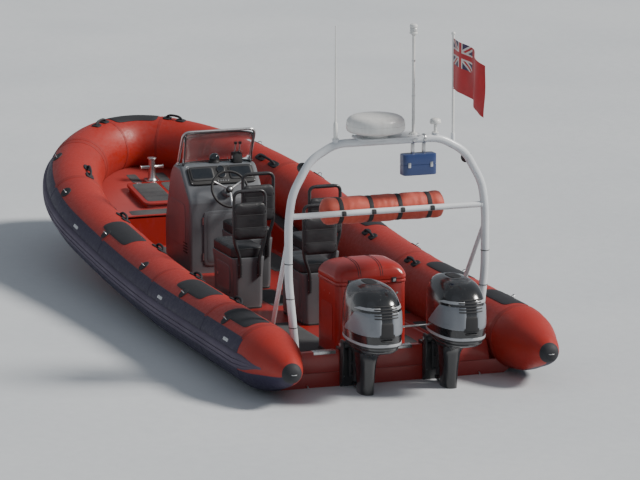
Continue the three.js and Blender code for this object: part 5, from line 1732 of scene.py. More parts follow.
def make_cabinet():
    """A blue box under the arch: a lid seam round its middle, two straps over the tube, two catches."""
    middle, half = (CABINET_LOW + CABINET_HIGH) / 2, (CABINET_HIGH - CABINET_LOW) / 2
    levels = [(0.006, 0), (0.0015, 0.002), (0, 0.007), (0, half - 0.003), (0.003, half - 0.001)]
    levels += [(inset, 2 * half - rise) for inset, rise in reversed(levels)]
    box = Shape().rings(inset_rings(level((FRAME_X, CABINET_Y, CABINET_LOW)), CABINET_HALF_X, CABINET_HALF_Y,
                                    7, 64, levels))
    box.piece("cabinet_box", cabinet_blue, replaces=["frame_cabinet"], slot="cabinet_paint")
    straps = Shape()
    for y in (CABINET_Y - 0.05, CABINET_Y + 0.05):
        straps.block((FRAME_X - 0.016, y - 0.012, CABINET_HIGH - 0.004),
                     (FRAME_X + 0.016, y + 0.012, FRAME_TOP - 0.036), 0.002)
        straps.path(circle((FRAME_X, y, FRAME_TOP), AHEAD, UP, 0.0385, 29), 0.0032, 8, looped=True, flat=3.6,
                    up=PORT)
    for y in (-0.1, 0.1):
        place = level((FRAME_X - CABINET_HALF_X, CABINET_Y + y, middle))
        straps.block(place(-0.004, -0.012, -0.022), place(0.002, 0.012, 0.022), 0.002)
        straps.block(place(-0.0075, -0.006, -0.012), place(-0.003, 0.006, 0.016), 0.0015)
    straps.piece("cabinet_straps", steel)


def make_turned_gear():
    for name, profile, y, material in GEAR:
        shape = Shape().turned(profile, (FRAME_X, y, PLATE_TOP + SEAT_GAP), UP, 56)
        shape.piece(f"{name}_body", material, replaces=[name], slot="white_plastic", sharp=32)
    staff = Shape().turned(STAFF, (FRAME_X, STAFF_Y, STAFF_FOOT + SEAT_GAP), UP, 28)
    staff.piece("ensign_staff_pole", white_plastic, replaces=["ensign_staff"], slot="white_plastic")
    lens = Shape().turned(MAST_LENS, (FRAME_X, MAST_Y, PLATE_TOP + SEAT_GAP), UP, 40)
    lens.piece("mast_lens", lamp_glass)
    fixings = Shape()
    for spot in circle((FRAME_X, MAST_Y, PLATE_TOP + 0.008), AHEAD, PORT, 0.0245, 8)[1::2]:
        add_bolt(fixings, spot, UP, 0.004, 0.004)
    for height in (0.32, 0.62):
        fixings.turned([(0.0132, 0), (0.0155, 0), (0.0155, 0.014), (0.0132, 0.014), (0.0132, 0)],
                       (FRAME_X, MAST_Y, PLATE_TOP + height), UP, 24)
    fixings.piece("gear_fixings", steel)


def bag_ring(along):
    """One section of the rolled bag, puckered toward its ends, drawn in by straps, pressed on the bar."""
    end = (BAG_HALF - abs(along)) / 0.075
    size = BAG_RADIUS * (sqrt(1 - (1 - min(1.0, end)) ** 2) * 0.62 + 0.38 * min(1.0, end * 2 + 0.15))
    strap = min(abs(along - place) for place in BAG_STRAPS)
    size -= 0.007 * (1 - smooth_step(strap, 0.012, 0.07))
    clear = CROSSBAR_RADIUS + 0.0015
    ring = []
    for turn in turns(56):
        ripple = noise.noise(Vector((along * 9, cos(turn) * 2.2, sin(turn) * 2.2)))
        pucker = 0.004 * (1 - min(1.0, end)) * sin(14 * turn)
        reach = min(BAG_RADIUS, size * 0.985 + 0.004 * ripple - abs(pucker))
        x, z = BAG_X + reach * cos(turn), reach * sin(turn)
        if hypot(x - FRAME_X, z) < clear:
            x = FRAME_X + sqrt(max(0, clear ** 2 - z ** 2))
        ring.append((x, along, CROSSBAR_Z + z))
    return ring


def strap_loop(along):
    """A strap round the bag that passes behind the crossbar."""
    clear = CROSSBAR_RADIUS + 0.005
    loop = []
    for turn in turns(60):
        x, z = BAG_X - STRAP_RADIUS * cos(turn + pi / 60), -STRAP_RADIUS * sin(turn + pi / 60)
        if hypot(x - FRAME_X, z) < clear:
            x = FRAME_X - sqrt(max(0, clear ** 2 - z ** 2))
        loop.append((x, along, CROSSBAR_Z + z))
    return loop


def make_righting_bag():
    """The rolled bag, lashed to the crossbar by straps with buckles."""
    bag = Shape().rings([bag_ring(along) for along in steps_between(-BAG_HALF, BAG_HALF, 0.02)])
    roll = bag.piece("righting_bag_roll", bag_cloth, replaces=["righting_bag"], slot="bag_fabric", sharp=70)
    straps = Shape()
    for along in BAG_STRAPS:
        straps.path(strap_loop(along), 0.0022, 8, looped=True, flat=9, up=PORT)
        over, rise = STRAP_RADIUS * cos(BUCKLE_TURN), STRAP_RADIUS * sin(BUCKLE_TURN)
        buckle = level((BAG_X + over, along, CROSSBAR_Z + rise))
        straps.block(buckle(-0.008, -0.026, -0.016), buckle(0.006, 0.026, 0.016), 0.003,
                     turn=Matrix.Rotation(-BUCKLE_TURN, 3, "Y"))
    straps.piece("righting_bag_straps", strap_black)


def on_ensign(along, up, lift):
    """A point of the flag by its shares from the hoist and from the foot, lift over its middle layer."""
    wave = FLAG_WAVE * along ** 0.6 * sin(3 * pi * along)
    fold = 0.012 * along * sin(7 * along * pi + 5 * (1 - up))
    return (FRAME_X - 0.011 - SEAT_GAP - FLAG_LENGTH * along,
            STAFF_Y + wave + fold * (1 - up) + lift,
            FLAG_TOP - FLAG_HEIGHT * (1 - up) - FLAG_DROOP * along ** 2 - 0.006 * along * (1 - up))


def make_ensign():
    """A cloth with two faces, thicker at its hoist and thin at its hems, and its place on the flag as UV map.
    """
    columns, rows = FLAG_COLUMNS, FLAG_ROWS
    width = columns + 1
    start = width * (rows + 1)
    points, faces, shares = [], [], []
    for face_side in (1, -1):
        for row in range(rows + 1):
            for column in range(width):
                along, up = column / columns, row / rows
                hem = 0.6 if min(row, rows - row, columns - column) < 1 else 1
                lift = face_side * FLAG_THICKNESS / 2 * (0.4 if column else 1) * hem
                points.append(on_ensign(along, up, lift))
                shares.append((along, up))
    for row in range(rows):
        for column in range(columns):
            low = row * width + column
            faces.append((low, low + 1, low + width + 1, low + width))
            faces.append((start + low, start + low + width, start + low + width + 1, start + low + 1))
    rim = [*range(columns), *[row * width + columns for row in range(rows)],
           *[rows * width + column for column in range(columns, 0, -1)],
           *[row * width for row in range(rows, 0, -1)]]
    faces += [(second, first, start + first, start + second) for first, second in zip(rim, rim[1:] + rim[:1])]
    mesh = bpy.data.meshes.new("ensign_cloth_sheet")
    mesh.from_pydata(points, [], faces)
    layer = mesh.uv_layers.new(name="place")
    for loop in mesh.loops:
        layer.data[loop.index].uv = shares[loop.vertex_index]
    mesh.materials.append(flag_cloth)
    mesh.shade_smooth()
    mesh.set_sharp_from_angle(angle=radians(60))
    cloth = finish_piece(new_object("ensign_cloth", mesh), "boat", ["ensign"])


def make_ensign_ties():
    ties = Shape()
    for z in (FLAG_TOP - 0.012, FLAG_TOP - FLAG_HEIGHT + 0.012):
        place = level((FRAME_X, STAFF_Y, z))
        ties.path(circle(place(0, 0, 0), AHEAD, PORT, 0.0125, 18), 0.0016, 6, looped=True)
        ties.block(place(-0.02, -0.0035, -0.004), place(-0.0105, 0.0035, 0.004), 0.001)
    ties.piece("ensign_ties", white_plastic)


def make_frame_gear():
    make_roll_frame()
    make_frame_bolts()
    make_frame_lamps()
    make_cabinet()
    make_turned_gear()
    make_righting_bag()
    make_ensign()
    make_ensign_ties()


make_frame_gear()

# Helm

CONSOLE_AFT, CONSOLE_HALF = 0.9, 0.375
CONSOLE_BASE = FLOOR_Z + SEAT_GAP
DASH_LOW, DASH_HIGH = (0.96, 0.86), (1.18, 1.09)
DASH_SLOPE = atan2(DASH_HIGH[1] - DASH_LOW[1], DASH_HIGH[0] - DASH_LOW[0])
DASH_TOP = DASH_HIGH[1] + SEAT_GAP
# Columns: x, z, from the aft foot round the front to the dash.
CONSOLE_SIDE = [
    (CONSOLE_AFT, CONSOLE_BASE), (1.64, CONSOLE_BASE), (1.66, 0.5), (1.48, 1.01), (1.38, DASH_HIGH[1]),
    DASH_HIGH, DASH_LOW, (CONSOLE_AFT, 0.8),
]
CONSOLE_ROUNDING = 0.03
# Columns: y, inset.
CONSOLE_EDGE = [(CONSOLE_HALF, 0.03), (0.374, 0.022), (0.369, 0.012), (0.36, 0.004), (0.345, 0.0)]
WHEEL_RAKE = radians(28)
WHEEL_AXIS = Vector((-cos(WHEEL_RAKE), 0, sin(WHEEL_RAKE)))
WHEEL_UP = Vector((sin(WHEEL_RAKE), 0, cos(WHEEL_RAKE)))
WHEEL_SIDE = WHEEL_AXIS.cross(WHEEL_UP).normalized()
BOSS_FOOT = Vector((0.95, 0, 0.85))
WHEEL_CENTRE = BOSS_FOOT + WHEEL_AXIS * 0.13
WHEEL_RADIUS, RIM_RADIUS = 0.175, 0.0122
SCREEN_DEPTH, SCREEN_HALF, SCREEN_HEIGHT = 0.175, 0.338, 0.285
SCREEN_AFT, SCREEN_THICKNESS, SCREEN_RAKE = 1.195, 0.008, 0.24
THROTTLE_X, THROTTLE_Y = 1.244, -0.205
RAIL_FOOT_X, RAIL_TOP_X, RAIL_TOP_Z, RAIL_Y = 1.3, 1.13, 1.42, 0.357
# Columns: radius, distance along the axis.
BOSS = [(0.0128, -0.02), (0.046, -0.02), (0.045, 0.0), (0.045, 0.046), (0.043, 0.05), (0.034, 0.058),
        (0.03, 0.06), (0.0128, 0.06), (0.0128, -0.02)]
WHEEL_HUB = [(0, -0.03), (0.03, -0.03), (0.032, -0.026), (0.032, 0.008), (0.028, 0.0135), (0.016, 0.016),
             (0, 0.016)]
HUB_CAP = [(0.014, 0.0155), (0.014, 0.018), (0.01, 0.02), (0, 0.0205)]
DOOR_CATCH = [(0, 0), (0.024, 0), (0.024, 0.004), (0.02, 0.006), (0.012, 0.006), (0.01, 0.003), (0, 0.003)]
HATCH_CATCH = [(0, 0), (0.018, 0), (0.018, 0.004), (0.012, 0.0055), (0, 0.0055)]
COMPASS_BASE = [(0, 0), (0.058, 0), (0.06, 0.006), (0.05, 0.016), (0.046, 0.03), (0.05, 0.034), (0.049, 0.04)]
COMPASS_BOWL = [(0.048, 0.038), (0.046, 0.055), (0.037, 0.073), (0.022, 0.085), (0, 0.089)]
# Columns: half-length, height.
THROTTLE_SIDE = [(0.058, 0), (0.05, 0.07), (0.044, 0.082), (0.034, 0.091), (0.024, 0.095)]

on_dash = on_slope((1.092, 0, 0.998), DASH_SLOPE)
DASH_NORMAL = on_dash(0, 0, 1) - on_dash(0, 0, 0)
DASH_FACE = 0.0205


def console_corner(index):
    """A corner of the console's side, rounded into five points; those of the foot stay on the floor."""
    here = Vector(CONSOLE_SIDE[index])
    back = (Vector(CONSOLE_SIDE[index - 1]) - here).normalized()
    onward = (Vector(CONSOLE_SIDE[(index + 1) % len(CONSOLE_SIDE)]) - here).normalized()
    inward = back + onward
    rounds = index > 1 and inward.length > 0.05
    inward.normalize()
    bend = ((back, 1, 0), (back, 0.3, 0.004), (back, 0, 0.009), (onward, 0.3, 0.004), (onward, 1, 0))
    return [here + way * (share * CONSOLE_ROUNDING) + inward * (pull if rounds else 0)
            for way, share, pull in bend]


def console_shell():
    """The console's body between its two sides, which are drawn in toward their middle at the edges."""
    count = len(CONSOLE_SIDE)
    centre = Vector((sum(x for x, z in CONSOLE_SIDE) / count, sum(z for x, z in CONSOLE_SIDE) / count))
    rings = []
    for y, inset in both_sides(CONSOLE_EDGE):
        ring = []
        for index in range(count):
            for spot in console_corner(index):
                shift = (centre - spot).normalized() * inset
                height = spot.y + (shift.y if index > 1 else 0)
                ring.append((spot.x + shift.x, y, max(CONSOLE_BASE, height)))
        rings.append(ring)
    return Shape().rings(rings)


def make_console():
    """The console with its wheel boss, a door aft, hatches on the flanks and ahead, and vents."""
    body = console_shell().turned(BOSS, BOSS_FOOT, WHEEL_AXIS, 40)
    body.piece("console_body", console_grey, replaces=["console"], slot="console_gelcoat", sharp=28)
    trim, metal, dark = Shape(), Shape(), Shape()
    aft = on_plane((CONSOLE_AFT, 0, 0.44), -PORT, UP)
    add_pad(trim, aft, 0.24, 0.26, 0.01, 16, 0.004)
    add_pad(trim, shifted(aft, 0, 0, 0.009), 0.21, 0.23, 0.003, 16, 0.002)
    for side in SIDES:
        flank = on_plane((1.28, side * CONSOLE_HALF, 0.55), (side, 0, 0), UP)
        add_pad(trim, flank, 0.24, 0.2, 0.006, 12, 0.003)
        for row in range(4):
            dark.box((1.04, side * CONSOLE_HALF, 0.3 + 0.028 * row), (0.06, 0.004, 0.006), 0.002)
    front = on_plane((1.57, 0, 0.755), PORT, (-0.18, 0, 0.51))
    add_pad(trim, front, 0.25, 0.17, 0.008, 14, 0.003)
    for z in (0.27, 0.61):
        hinge = level((CONSOLE_AFT - 0.004, 0.245, z))
        metal.rod(hinge(0, 0, -0.035), hinge(0, 0, 0.035), 0.0055, 14)
    metal.turned(DOOR_CATCH, (CONSOLE_AFT - 0.011, -0.17, 0.46), -AHEAD, 28)
    for a in (-0.2, 0.2):
        metal.turned(HATCH_CATCH, front(a, 0.13, 0.007), (0.51, 0, 0.18), 24)
    trim.piece("console_panels", console_grey, sharp=30)
    metal.piece("console_metal", steel)
    dark.piece("console_vents", black_plastic)


def make_instruments():
    """The dash plate with two screens, two round dials, five toggle switches and four screws."""
    levels = [(0.003, SEAT_GAP), (0, 0.003), (0, 0.017), (0.004, DASH_FACE), (0.012, 0.0215)]
    panel = Shape().rings(inset_rings(on_dash, 0.1, 0.325, 12, 72, levels))
    panel.piece("instrument_plate", black_plastic, replaces=["instrument_panel"], slot="black_plastic")
    bezels, glass, metal = Shape(), Shape(), Shape()
    for b in (0.19, -0.19):
        add_pad(bezels, shifted(on_dash, 0.012, b, DASH_FACE), 0.074, 0.115, 0.008, 9, 0.003)
        add_pad(glass, shifted(on_dash, 0.016, b, 0.0275), 0.056, 0.101, 0.0014, 10, 0.0008)
    for a in (0.055, -0.002):
        dial = on_dash(a, 0, DASH_FACE)
        bezels.turned([(0.041, 0), (0.04, 0.008), (0.036, 0.009), (0.035, 0.004)], dial, DASH_NORMAL, 36)
        glass.turned([(0, 0.003), (0.035, 0.003), (0.034, 0.0055), (0, 0.0065)], dial, DASH_NORMAL, 36)
    for index in range(5):
        spot = on_dash(-0.072, -0.05 + 0.025 * index, DASH_FACE)
        metal.turned([(0, 0), (0.008, 0), (0.007, 0.003), (0, 0.003)], spot, DASH_NORMAL, 12)
        metal.path([spot, spot + DASH_NORMAL * 0.014 + Vector((0.004, 0, 0.001))], [0.0028, 0.0034], 10)
    for b in (-0.31, 0.31):
        for a in (-0.085, 0.085):
            metal.turned([(0, 0), (0.005, 0), (0.004, 0.002), (0, 0.002)],
                         on_dash(a, b, DASH_FACE), DASH_NORMAL, 14)
    bezels.piece("instrument_bezels", cast_black)
    glass.piece("instrument_glass", display_glass)
    metal.piece("dash_switches", steel)


def make_compass():
    base = (1.29, 0, DASH_HIGH[1])
    Shape().turned(COMPASS_BASE, base, UP, 40).piece("compass_base", black_plastic)
    Shape().turned(COMPASS_BOWL, base, UP, 40).piece("compass_bowl", display_glass)


def rim_ring(turn):
    """One section of the wheel's rim, with finger bumps on its inner side."""
    out = WHEEL_UP * cos(turn) + WHEEL_SIDE * sin(turn)
    ring = []
    for angle in turns(16):
        reach = RIM_RADIUS + (0.0007 * cos(36 * turn) if cos(angle) < 0.2 else 0)
        away = WHEEL_RADIUS + reach * cos(angle)
        ring.append(WHEEL_CENTRE + out * away + WHEEL_AXIS * (reach * sin(angle)))
    return ring


def make_wheel():
    """The wheel: padded rim, three dished spokes, shaft and hub cap."""
    rim = Shape().rings([rim_ring(turn) for turn in turns(120)], looped=True)
    rim.turned(WHEEL_HUB, WHEEL_CENTRE, WHEEL_AXIS, 40)
    rim.piece("wheel_rim", black_plastic, "wheel", ["steering_wheel"], "black_plastic")
    metal = Shape()
    for turn in turns(3):
        out = WHEEL_UP * cos(turn + pi) + WHEEL_SIDE * sin(turn + pi)
        points = [WHEEL_CENTRE + out * (0.024 + 0.147 * share) - WHEEL_AXIS * (0.004 * sin(pi * share))
                  for share in steps_between(0, 1, 0.1)]
        metal.path(points, 0.0088, 14, flat=0.55, up=WHEEL_AXIS)
    metal.rod(WHEEL_CENTRE - WHEEL_AXIS * 0.105, WHEEL_CENTRE - WHEEL_AXIS * 0.02, 0.012, 24)
    metal.turned(HUB_CAP, WHEEL_CENTRE, WHEEL_AXIS, 24)
    metal.piece("wheel_spokes", steel, "wheel")


def make_throttle():
    """The throttle box on the dash with two levers and their grips."""
    foot_centre = (THROTTLE_X, THROTTLE_Y, DASH_TOP)
    place = level(foot_centre)
    box = Shape().outline(both_sides(THROTTLE_SIDE), -0.042, 0.042, upright(foot_centre), 0.004)
    metal = Shape()
    for offset in (0.022, -0.022):
        foot, head = place(0, offset, 0.06), place(-0.04, offset, 0.19)
        metal.path([foot, foot.lerp(head, 0.5), head], 0.0068, 14)
        grip = [head + PORT * y for y in (-0.013, -0.011, 0.011, 0.013)]
        box.path(grip, [0.0085, 0.0118, 0.0118, 0.0085], 22)
        low, high = head - Vector((0.015, 0.0125, 0.013)), head + Vector((0.015, 0.0125, 0.009))
        box.block(low, high, 0.0045, segments=3)
        box.block(foot + Vector((-0.05, -0.006, 0.022)), foot + Vector((0.03, 0.006, 0.0365)), 0.003)
    for side in SIDES:
        metal.turned([(0, 0), (0.02, 0), (0.018, 0.004), (0, 0.005)],
                     place(0, side * 0.0415, 0.045), PORT * side, 28)
    box.piece("throttle_body", black_plastic, replaces=["throttle_box"], slot="black_plastic")
    metal.piece("throttle_levers", steel)


def screen_edge(inset, height):
    """Points round the windscreen's curve, from starboard to port."""
    points = []
    for turn in steps_between(-pi / 2, pi / 2, pi / 36):
        along, across = oval(turn, 3.2)
        points.append(Vector((SCREEN_AFT + (SCREEN_DEPTH - inset) * along - SCREEN_RAKE * height,
                              (SCREEN_HALF - inset) * across, DASH_TOP + height)))
    return points


def make_windscreen():
    levels = ((0, 0.0015), (0.0015, 0), (0.07, 0), (0.14, 0), (0.21, 0), (SCREEN_HEIGHT - 0.002, 0),
              (SCREEN_HEIGHT, 0.0015))
    rings = [[*screen_edge(swell, height), *reversed(screen_edge(SCREEN_THICKNESS - swell, height))]
             for height, swell in levels]
    screen = Shape().rings(rings)
    screen.piece("screen_clear", clear_acrylic, replaces=["windscreen"], slot="clear_screen", sharp=50)
    trim, metal = Shape(), Shape()
    middle = SCREEN_THICKNESS / 2
    trim.path(screen_edge(middle, SCREEN_HEIGHT), 0.0062, 12)
    trim.path(screen_edge(middle, 0.006), 0.0058, 12)
    for index in (0, -1):
        trim.path([screen_edge(middle, 0.004)[index], screen_edge(middle, SCREEN_HEIGHT)[index]], 0.0058, 12)
    points = screen_edge(0, 0.022)
    for point in points[3:-3:5]:
        outward = (point - Vector((SCREEN_AFT - 0.2, 0, point.z))).normalized()
        metal.turned([(0, 0), (0.006, 0), (0.005, 0.0025), (0, 0.003)], point - outward * 0.0005, outward, 12)
    trim.piece("screen_trim", cast_black)
    metal.piece("screen_screws", steel)


def make_console_rail():
    corners = [(x, y, z) for y, x, z in both_sides([(RAIL_Y, RAIL_FOOT_X, DASH_TOP + 0.008),
                                                    (RAIL_Y, RAIL_TOP_X, RAIL_TOP_Z)])]
    rail = Shape().path(bent_path(corners, 0.07, 0.015), 0.013, 22, up=AHEAD)
    for side in SIDES:
        foot = level((RAIL_FOOT_X, side * RAIL_Y, DASH_TOP))
        rail.outline(rounded(0.028, 0.016, 8, 32), 0, 0.007, foot, 0.0015)
        rail.turned([(0.018, 0.006), (0.0165, 0.014), (0.0135, 0.02), (0.0125, 0.006)], foot(0, 0, 0),
                    (-0.46, 0, 0.888), 28)
        for a in (-0.021, 0.021):
            rail.turned([(0, 0), (0.0045, 0), (0.004, 0.002), (0, 0.002)], foot(a, 0, 0.0068), UP, 14)
    rail.piece("console_rail_tube", steel, replaces=["console_rail"], slot="stainless")


def make_helm():
    make_console()
    make_instruments()
    make_compass()
    make_wheel()
    make_throttle()
    make_windscreen()
    make_console_rail()


make_helm()

# Seats, each laid out from the aft end of its pod

# Columns: name, x of the aft end, y.
SEATS = [("helm", 0.05, 0.0), ("port", -0.75, 0.36), ("starboard", -0.75, -0.36), ("aft", -1.6, 0.0)]
SEAT_LENGTH = 0.6
POD_HEIGHT = 0.47
# Columns: height, half-width.
POD = [(0, 0.128), (0.05, 0.138), (0.3, 0.142), (POD_HEIGHT, 0.158)]
CUSHION_BASE = POD_HEIGHT + SEAT_GAP
CUSHION_HALF_LENGTH, CUSHION_HALF_WIDTH, CUSHION_HEIGHT = 0.286, 0.154, 0.097
CUSHION_SEAM = 0.078
CUSHION_CROSS_SEAMS = (-0.1, 0.1)
BACK_LOW, BACK_HIGH, BACK_HALF_WIDTH = 0.64, 0.985, 0.158
BACK_CENTRE_Z, BACK_HALF_HEIGHT = (BACK_HIGH + BACK_LOW) / 2, (BACK_HIGH - BACK_LOW) / 2 - 0.007
BACK_MIDDLE, BACK_DEPTH = -0.02, 0.024
BACK_CROSS_SEAMS = (0.755, 0.87)
PADDING_VOXEL, FILL_PRESSURE, FILL_FRAMES = 0.008, 4.0, 20
HOOP_X, HOOP_FOOT_Y, HOOP_Y, HOOP_TOP, HOOP_RADIUS = -0.0163, 0.09, 0.148, 1.085, 0.016
SEAM_HOLD = 0.0062
# Columns: inset, height; of the back pad, inset and depth.
CUSHION_LEVELS = [
    (0.014, 0), (0.004, 0.003), (0, 0.012), (0, CUSHION_SEAM - 0.01), (0.002, CUSHION_SEAM),
    (0.012, CUSHION_HEIGHT - 0.004), (0.024, CUSHION_HEIGHT),
]
BACK_LEVELS = [(0.016, -BACK_DEPTH), (0.004, -BACK_DEPTH + 0.006), (0, -0.008), (0, 0.008),
               (0.004, BACK_DEPTH - 0.006), (0.016, BACK_DEPTH)]
# Columns: y, height.
HOOP = [(HOOP_FOOT_Y, 0.3), (HOOP_FOOT_Y, 0.47), (HOOP_Y, 0.64), (HOOP_Y, HOOP_TOP)]


def cushion_form():
    """The cushion before it is filled, about the middle of its underside."""
    return Shape().rings([[(x, y, rise) for x, y in round_rectangle(
        CUSHION_HALF_LENGTH - inset, CUSHION_HALF_WIDTH - inset, 0.056 - inset * 0.5)]
        for inset, rise in CUSHION_LEVELS])


def cushion_held(point):
    if point.z < 0.014 or abs(point.z - CUSHION_SEAM) < SEAM_HOLD:
        return True
    return point.z > CUSHION_SEAM and any(abs(point.x - seam) < SEAM_HOLD for seam in CUSHION_CROSS_SEAMS)


def back_form():
    """The back pad before it is filled, in the seat's own place."""
    return Shape().rings([[(BACK_MIDDLE + rise, y, BACK_CENTRE_Z + z) for y, z in round_rectangle(
        BACK_HALF_WIDTH - 0.007 - inset, BACK_HALF_HEIGHT - inset, 0.046)] for inset, rise in BACK_LEVELS])


def back_held(point):
    if abs(point.x - BACK_MIDDLE) < SEAM_HOLD:
        return abs(point.y) > BACK_HALF_WIDTH - 0.03 or not BACK_LOW + 0.03 < point.z < BACK_HIGH - 0.03
    return any(abs(point.z - seam) < SEAM_HOLD for seam in BACK_CROSS_SEAMS)


def evaluated_mesh(piece):
    graph = bpy.context.evaluated_depsgraph_get()
    return bpy.data.meshes.new_from_object(piece.evaluated_get(graph))


def fill(piece, held, reach):
    """Blows a piece up as cloth between its held points, and caps how far any point moves."""
    rest = [vertex.co.copy() for vertex in piece.data.vertices]
    group = piece.vertex_groups.new(name="held")
    group.add([index for index, point in enumerate(rest) if held(point)], 1.0, "REPLACE")
    cloth = piece.modifiers.new("fill", "CLOTH")
    cloth.settings.vertex_group_mass = "held"
    cloth.settings.use_pressure = True
    cloth.settings.uniform_pressure_force = FILL_PRESSURE
    cloth.settings.tension_stiffness = 12
    cloth.settings.compression_stiffness = 12
    cloth.settings.bending_stiffness = 0.6
    cloth.settings.effector_weights.gravity = 0
    for step in range(FILL_FRAMES):
        bpy.context.scene.frame_set(1 + step)
    soft = evaluated_mesh(piece)
    piece.modifiers.clear()
    bpy.context.scene.frame_set(1)
    for vertex, start in zip(soft.vertices, rest):
        move = vertex.co - start
        if move.length > reach:
            vertex.co = start + move.normalized() * reach
    piece.data = soft


def filled_mesh(name, form, held, reach):
    """A padded form: evenly meshed, filled and made finer."""
    mesh = bpy.data.meshes.new(name)
    mesh.from_pydata(form.points, [], form.faces)
    piece = new_object(name, mesh)
    remesh = piece.modifiers.new("even", "REMESH")
    remesh.mode = "VOXEL"
    remesh.voxel_size = PADDING_VOXEL
    even = evaluated_mesh(piece)
    piece.modifiers.clear()
    piece.data = even
    fill(piece, held, reach)
    finer = piece.modifiers.new("finer", "SUBSURF")
    finer.levels = finer.render_levels = 1
    final = evaluated_mesh(piece)
    bpy.data.objects.remove(piece)
    final.materials.clear()
    final.materials.append(seat_vinyl)
    final.shade_smooth()
    return final


def place_copy(mesh, name, shift, replaces):
    copy = mesh.copy()
    copy.name = name
    copy.transform(Matrix.Translation(shift))
    finish_piece(new_object(name, copy), "boat", replaces)


def make_pod(name, place):
    middle = shifted(place, SEAT_LENGTH / 2)

    def ring(height, inset):
        half = read_table(POD, height)[0]
        corners = round_rectangle(SEAT_LENGTH / 2 - inset, half - inset, max(0.008, 0.045 - inset))
        return [middle(a, b, height) for a, b in corners]

    rings = [ring(height, 0) for height in (0, *steps_between(0.012, POD_HEIGHT - 0.012, 0.04))]
    pod = Shape().rings([*rings, ring(POD_HEIGHT - 0.003, 0.002), ring(POD_HEIGHT, 0.006)])
    pod.piece(f"pod_{name}", pod_grey, replaces=[f"seat_pod_{name}"], slot="console_gelcoat", sharp=34)
    detail, metal = Shape(), Shape()
    for side in SIDES:
        def on_flank(a, b, rise):
            return middle(a, side * (read_table(POD, 0.26 + b)[0] + rise), 0.26 + b)

        add_pad(detail, on_flank, 0.19, 0.13, 0.005, 10, 0.002)
        for a in (-0.22, 0.22):
            metal.turned([(0.004, -0.004), (0.011, 0), (0.011, 0.0015), (0.008, 0.003), (0, 0.0035)],
                         on_flank(a, -0.23, -0.0005), PORT * side, 18)
        metal.turned([(0, 0), (0.013, 0), (0.013, 0.002), (0.009, 0.0035), (0, 0.003)],
                     on_flank(0.15, 0, 0.005), PORT * side, 22)
    skirt = Shape().rings([ring(height, inset) for height, inset in
                           ((0, -0.004), (0.016, -0.004), (0.02, 0.0), (0.02, 0.006), (0, 0.006))])
    detail.piece(f"pod_hatches_{name}", console_grey)
    skirt.piece(f"pod_skirt_{name}", black_plastic)
    metal.piece(f"pod_metal_{name}", steel)


def make_back_frame(name, place):
    """The hoop behind the seat with its foot plates, the pad's brackets and a ribbed grip."""
    corners = [place(HOOP_X, y, z) for y, z in both_sides(HOOP)]
    hoop = Shape().path(bent_path(corners, 0.06, 0.015), HOOP_RADIUS - 0.0005, 20, up=AHEAD)
    bolts, grip = Shape(), Shape()
    for side in SIDES:
        foot = shifted(place, 0, side * HOOP_FOOT_Y)
        hoop.block(foot(HOOP_X - 0.004, -0.018, 0.3), foot(-SEAT_GAP, 0.018, 0.43), 0.002)
        for z in (0.315, 0.415):
            for b in (-0.0115, 0.0115):
                add_bolt(bolts, foot(HOOP_X - 0.0035, b, z), -AHEAD, 0.004, 0.003)
        for z in (0.72, 0.9):
            bracket = shifted(place, BACK_MIDDLE, side * (HOOP_Y - 0.018), z)
            hoop.block(bracket(-0.022, -0.02, -0.014), bracket(0.02, 0.016, 0.014), 0.003)
    for step in range(13):
        grip.turned([(0.0158, -0.0045), (0.0178, -0.0035), (0.0178, 0.0035), (0.0158, 0.0045)],
                    place(HOOP_X, -0.078 + 0.013 * step, HOOP_TOP), PORT, 24)
    grip.rod(place(HOOP_X, -0.085, HOOP_TOP), place(HOOP_X, 0.085, HOOP_TOP), 0.0165, 24)
    hoop.piece(f"back_hoop_{name}", cast_black)
    bolts.piece(f"back_bolts_{name}", steel)
    grip.piece(f"back_grip_{name}", patch_rubber)


def make_seat_seams(name, place):
    """Piping round the cushion and the back pad, and over their cross seams."""
    seams = Shape()
    cushion = shifted(place, SEAT_LENGTH / 2, 0, CUSHION_BASE)
    wide = CUSHION_HALF_WIDTH - 0.002
    belt = round_rectangle(CUSHION_HALF_LENGTH - 0.002, wide, 0.055, 10, 12)
    seams.path([cushion(a, b, CUSHION_SEAM) for a, b in belt], 0.0034, 10, looped=True)
    over = both_sides([(-wide, CUSHION_SEAM), (0.011 - wide, CUSHION_HEIGHT - 0.004),
                       (0.024 - wide, CUSHION_HEIGHT)])
    for seam in CUSHION_CROSS_SEAMS:
        seams.path(bent_path([cushion(seam, b, rise) for b, rise in over], 0.012, 0.012), 0.0028, 8)
    rim = round_rectangle(BACK_HALF_WIDTH - 0.0065, BACK_HALF_HEIGHT, 0.046, 10, 12)
    seams.path([place(BACK_MIDDLE, a, BACK_CENTRE_Z + b) for a, b in rim], 0.0034, 10, looped=True)
    wide = BACK_HALF_WIDTH - 0.008
    over = both_sides([(-wide, 0), (0.003 - wide, BACK_DEPTH - 0.006), (0.014 - wide, BACK_DEPTH)])
    for seam in BACK_CROSS_SEAMS:
        for hand in SIDES:
            points = [place(BACK_MIDDLE + hand * a, b, seam) for b, a in over]
            seams.path(bent_path(points, 0.008, 0.012), 0.0026, 8)
    seams.piece(f"seat_seams_{name}", seam_piping)


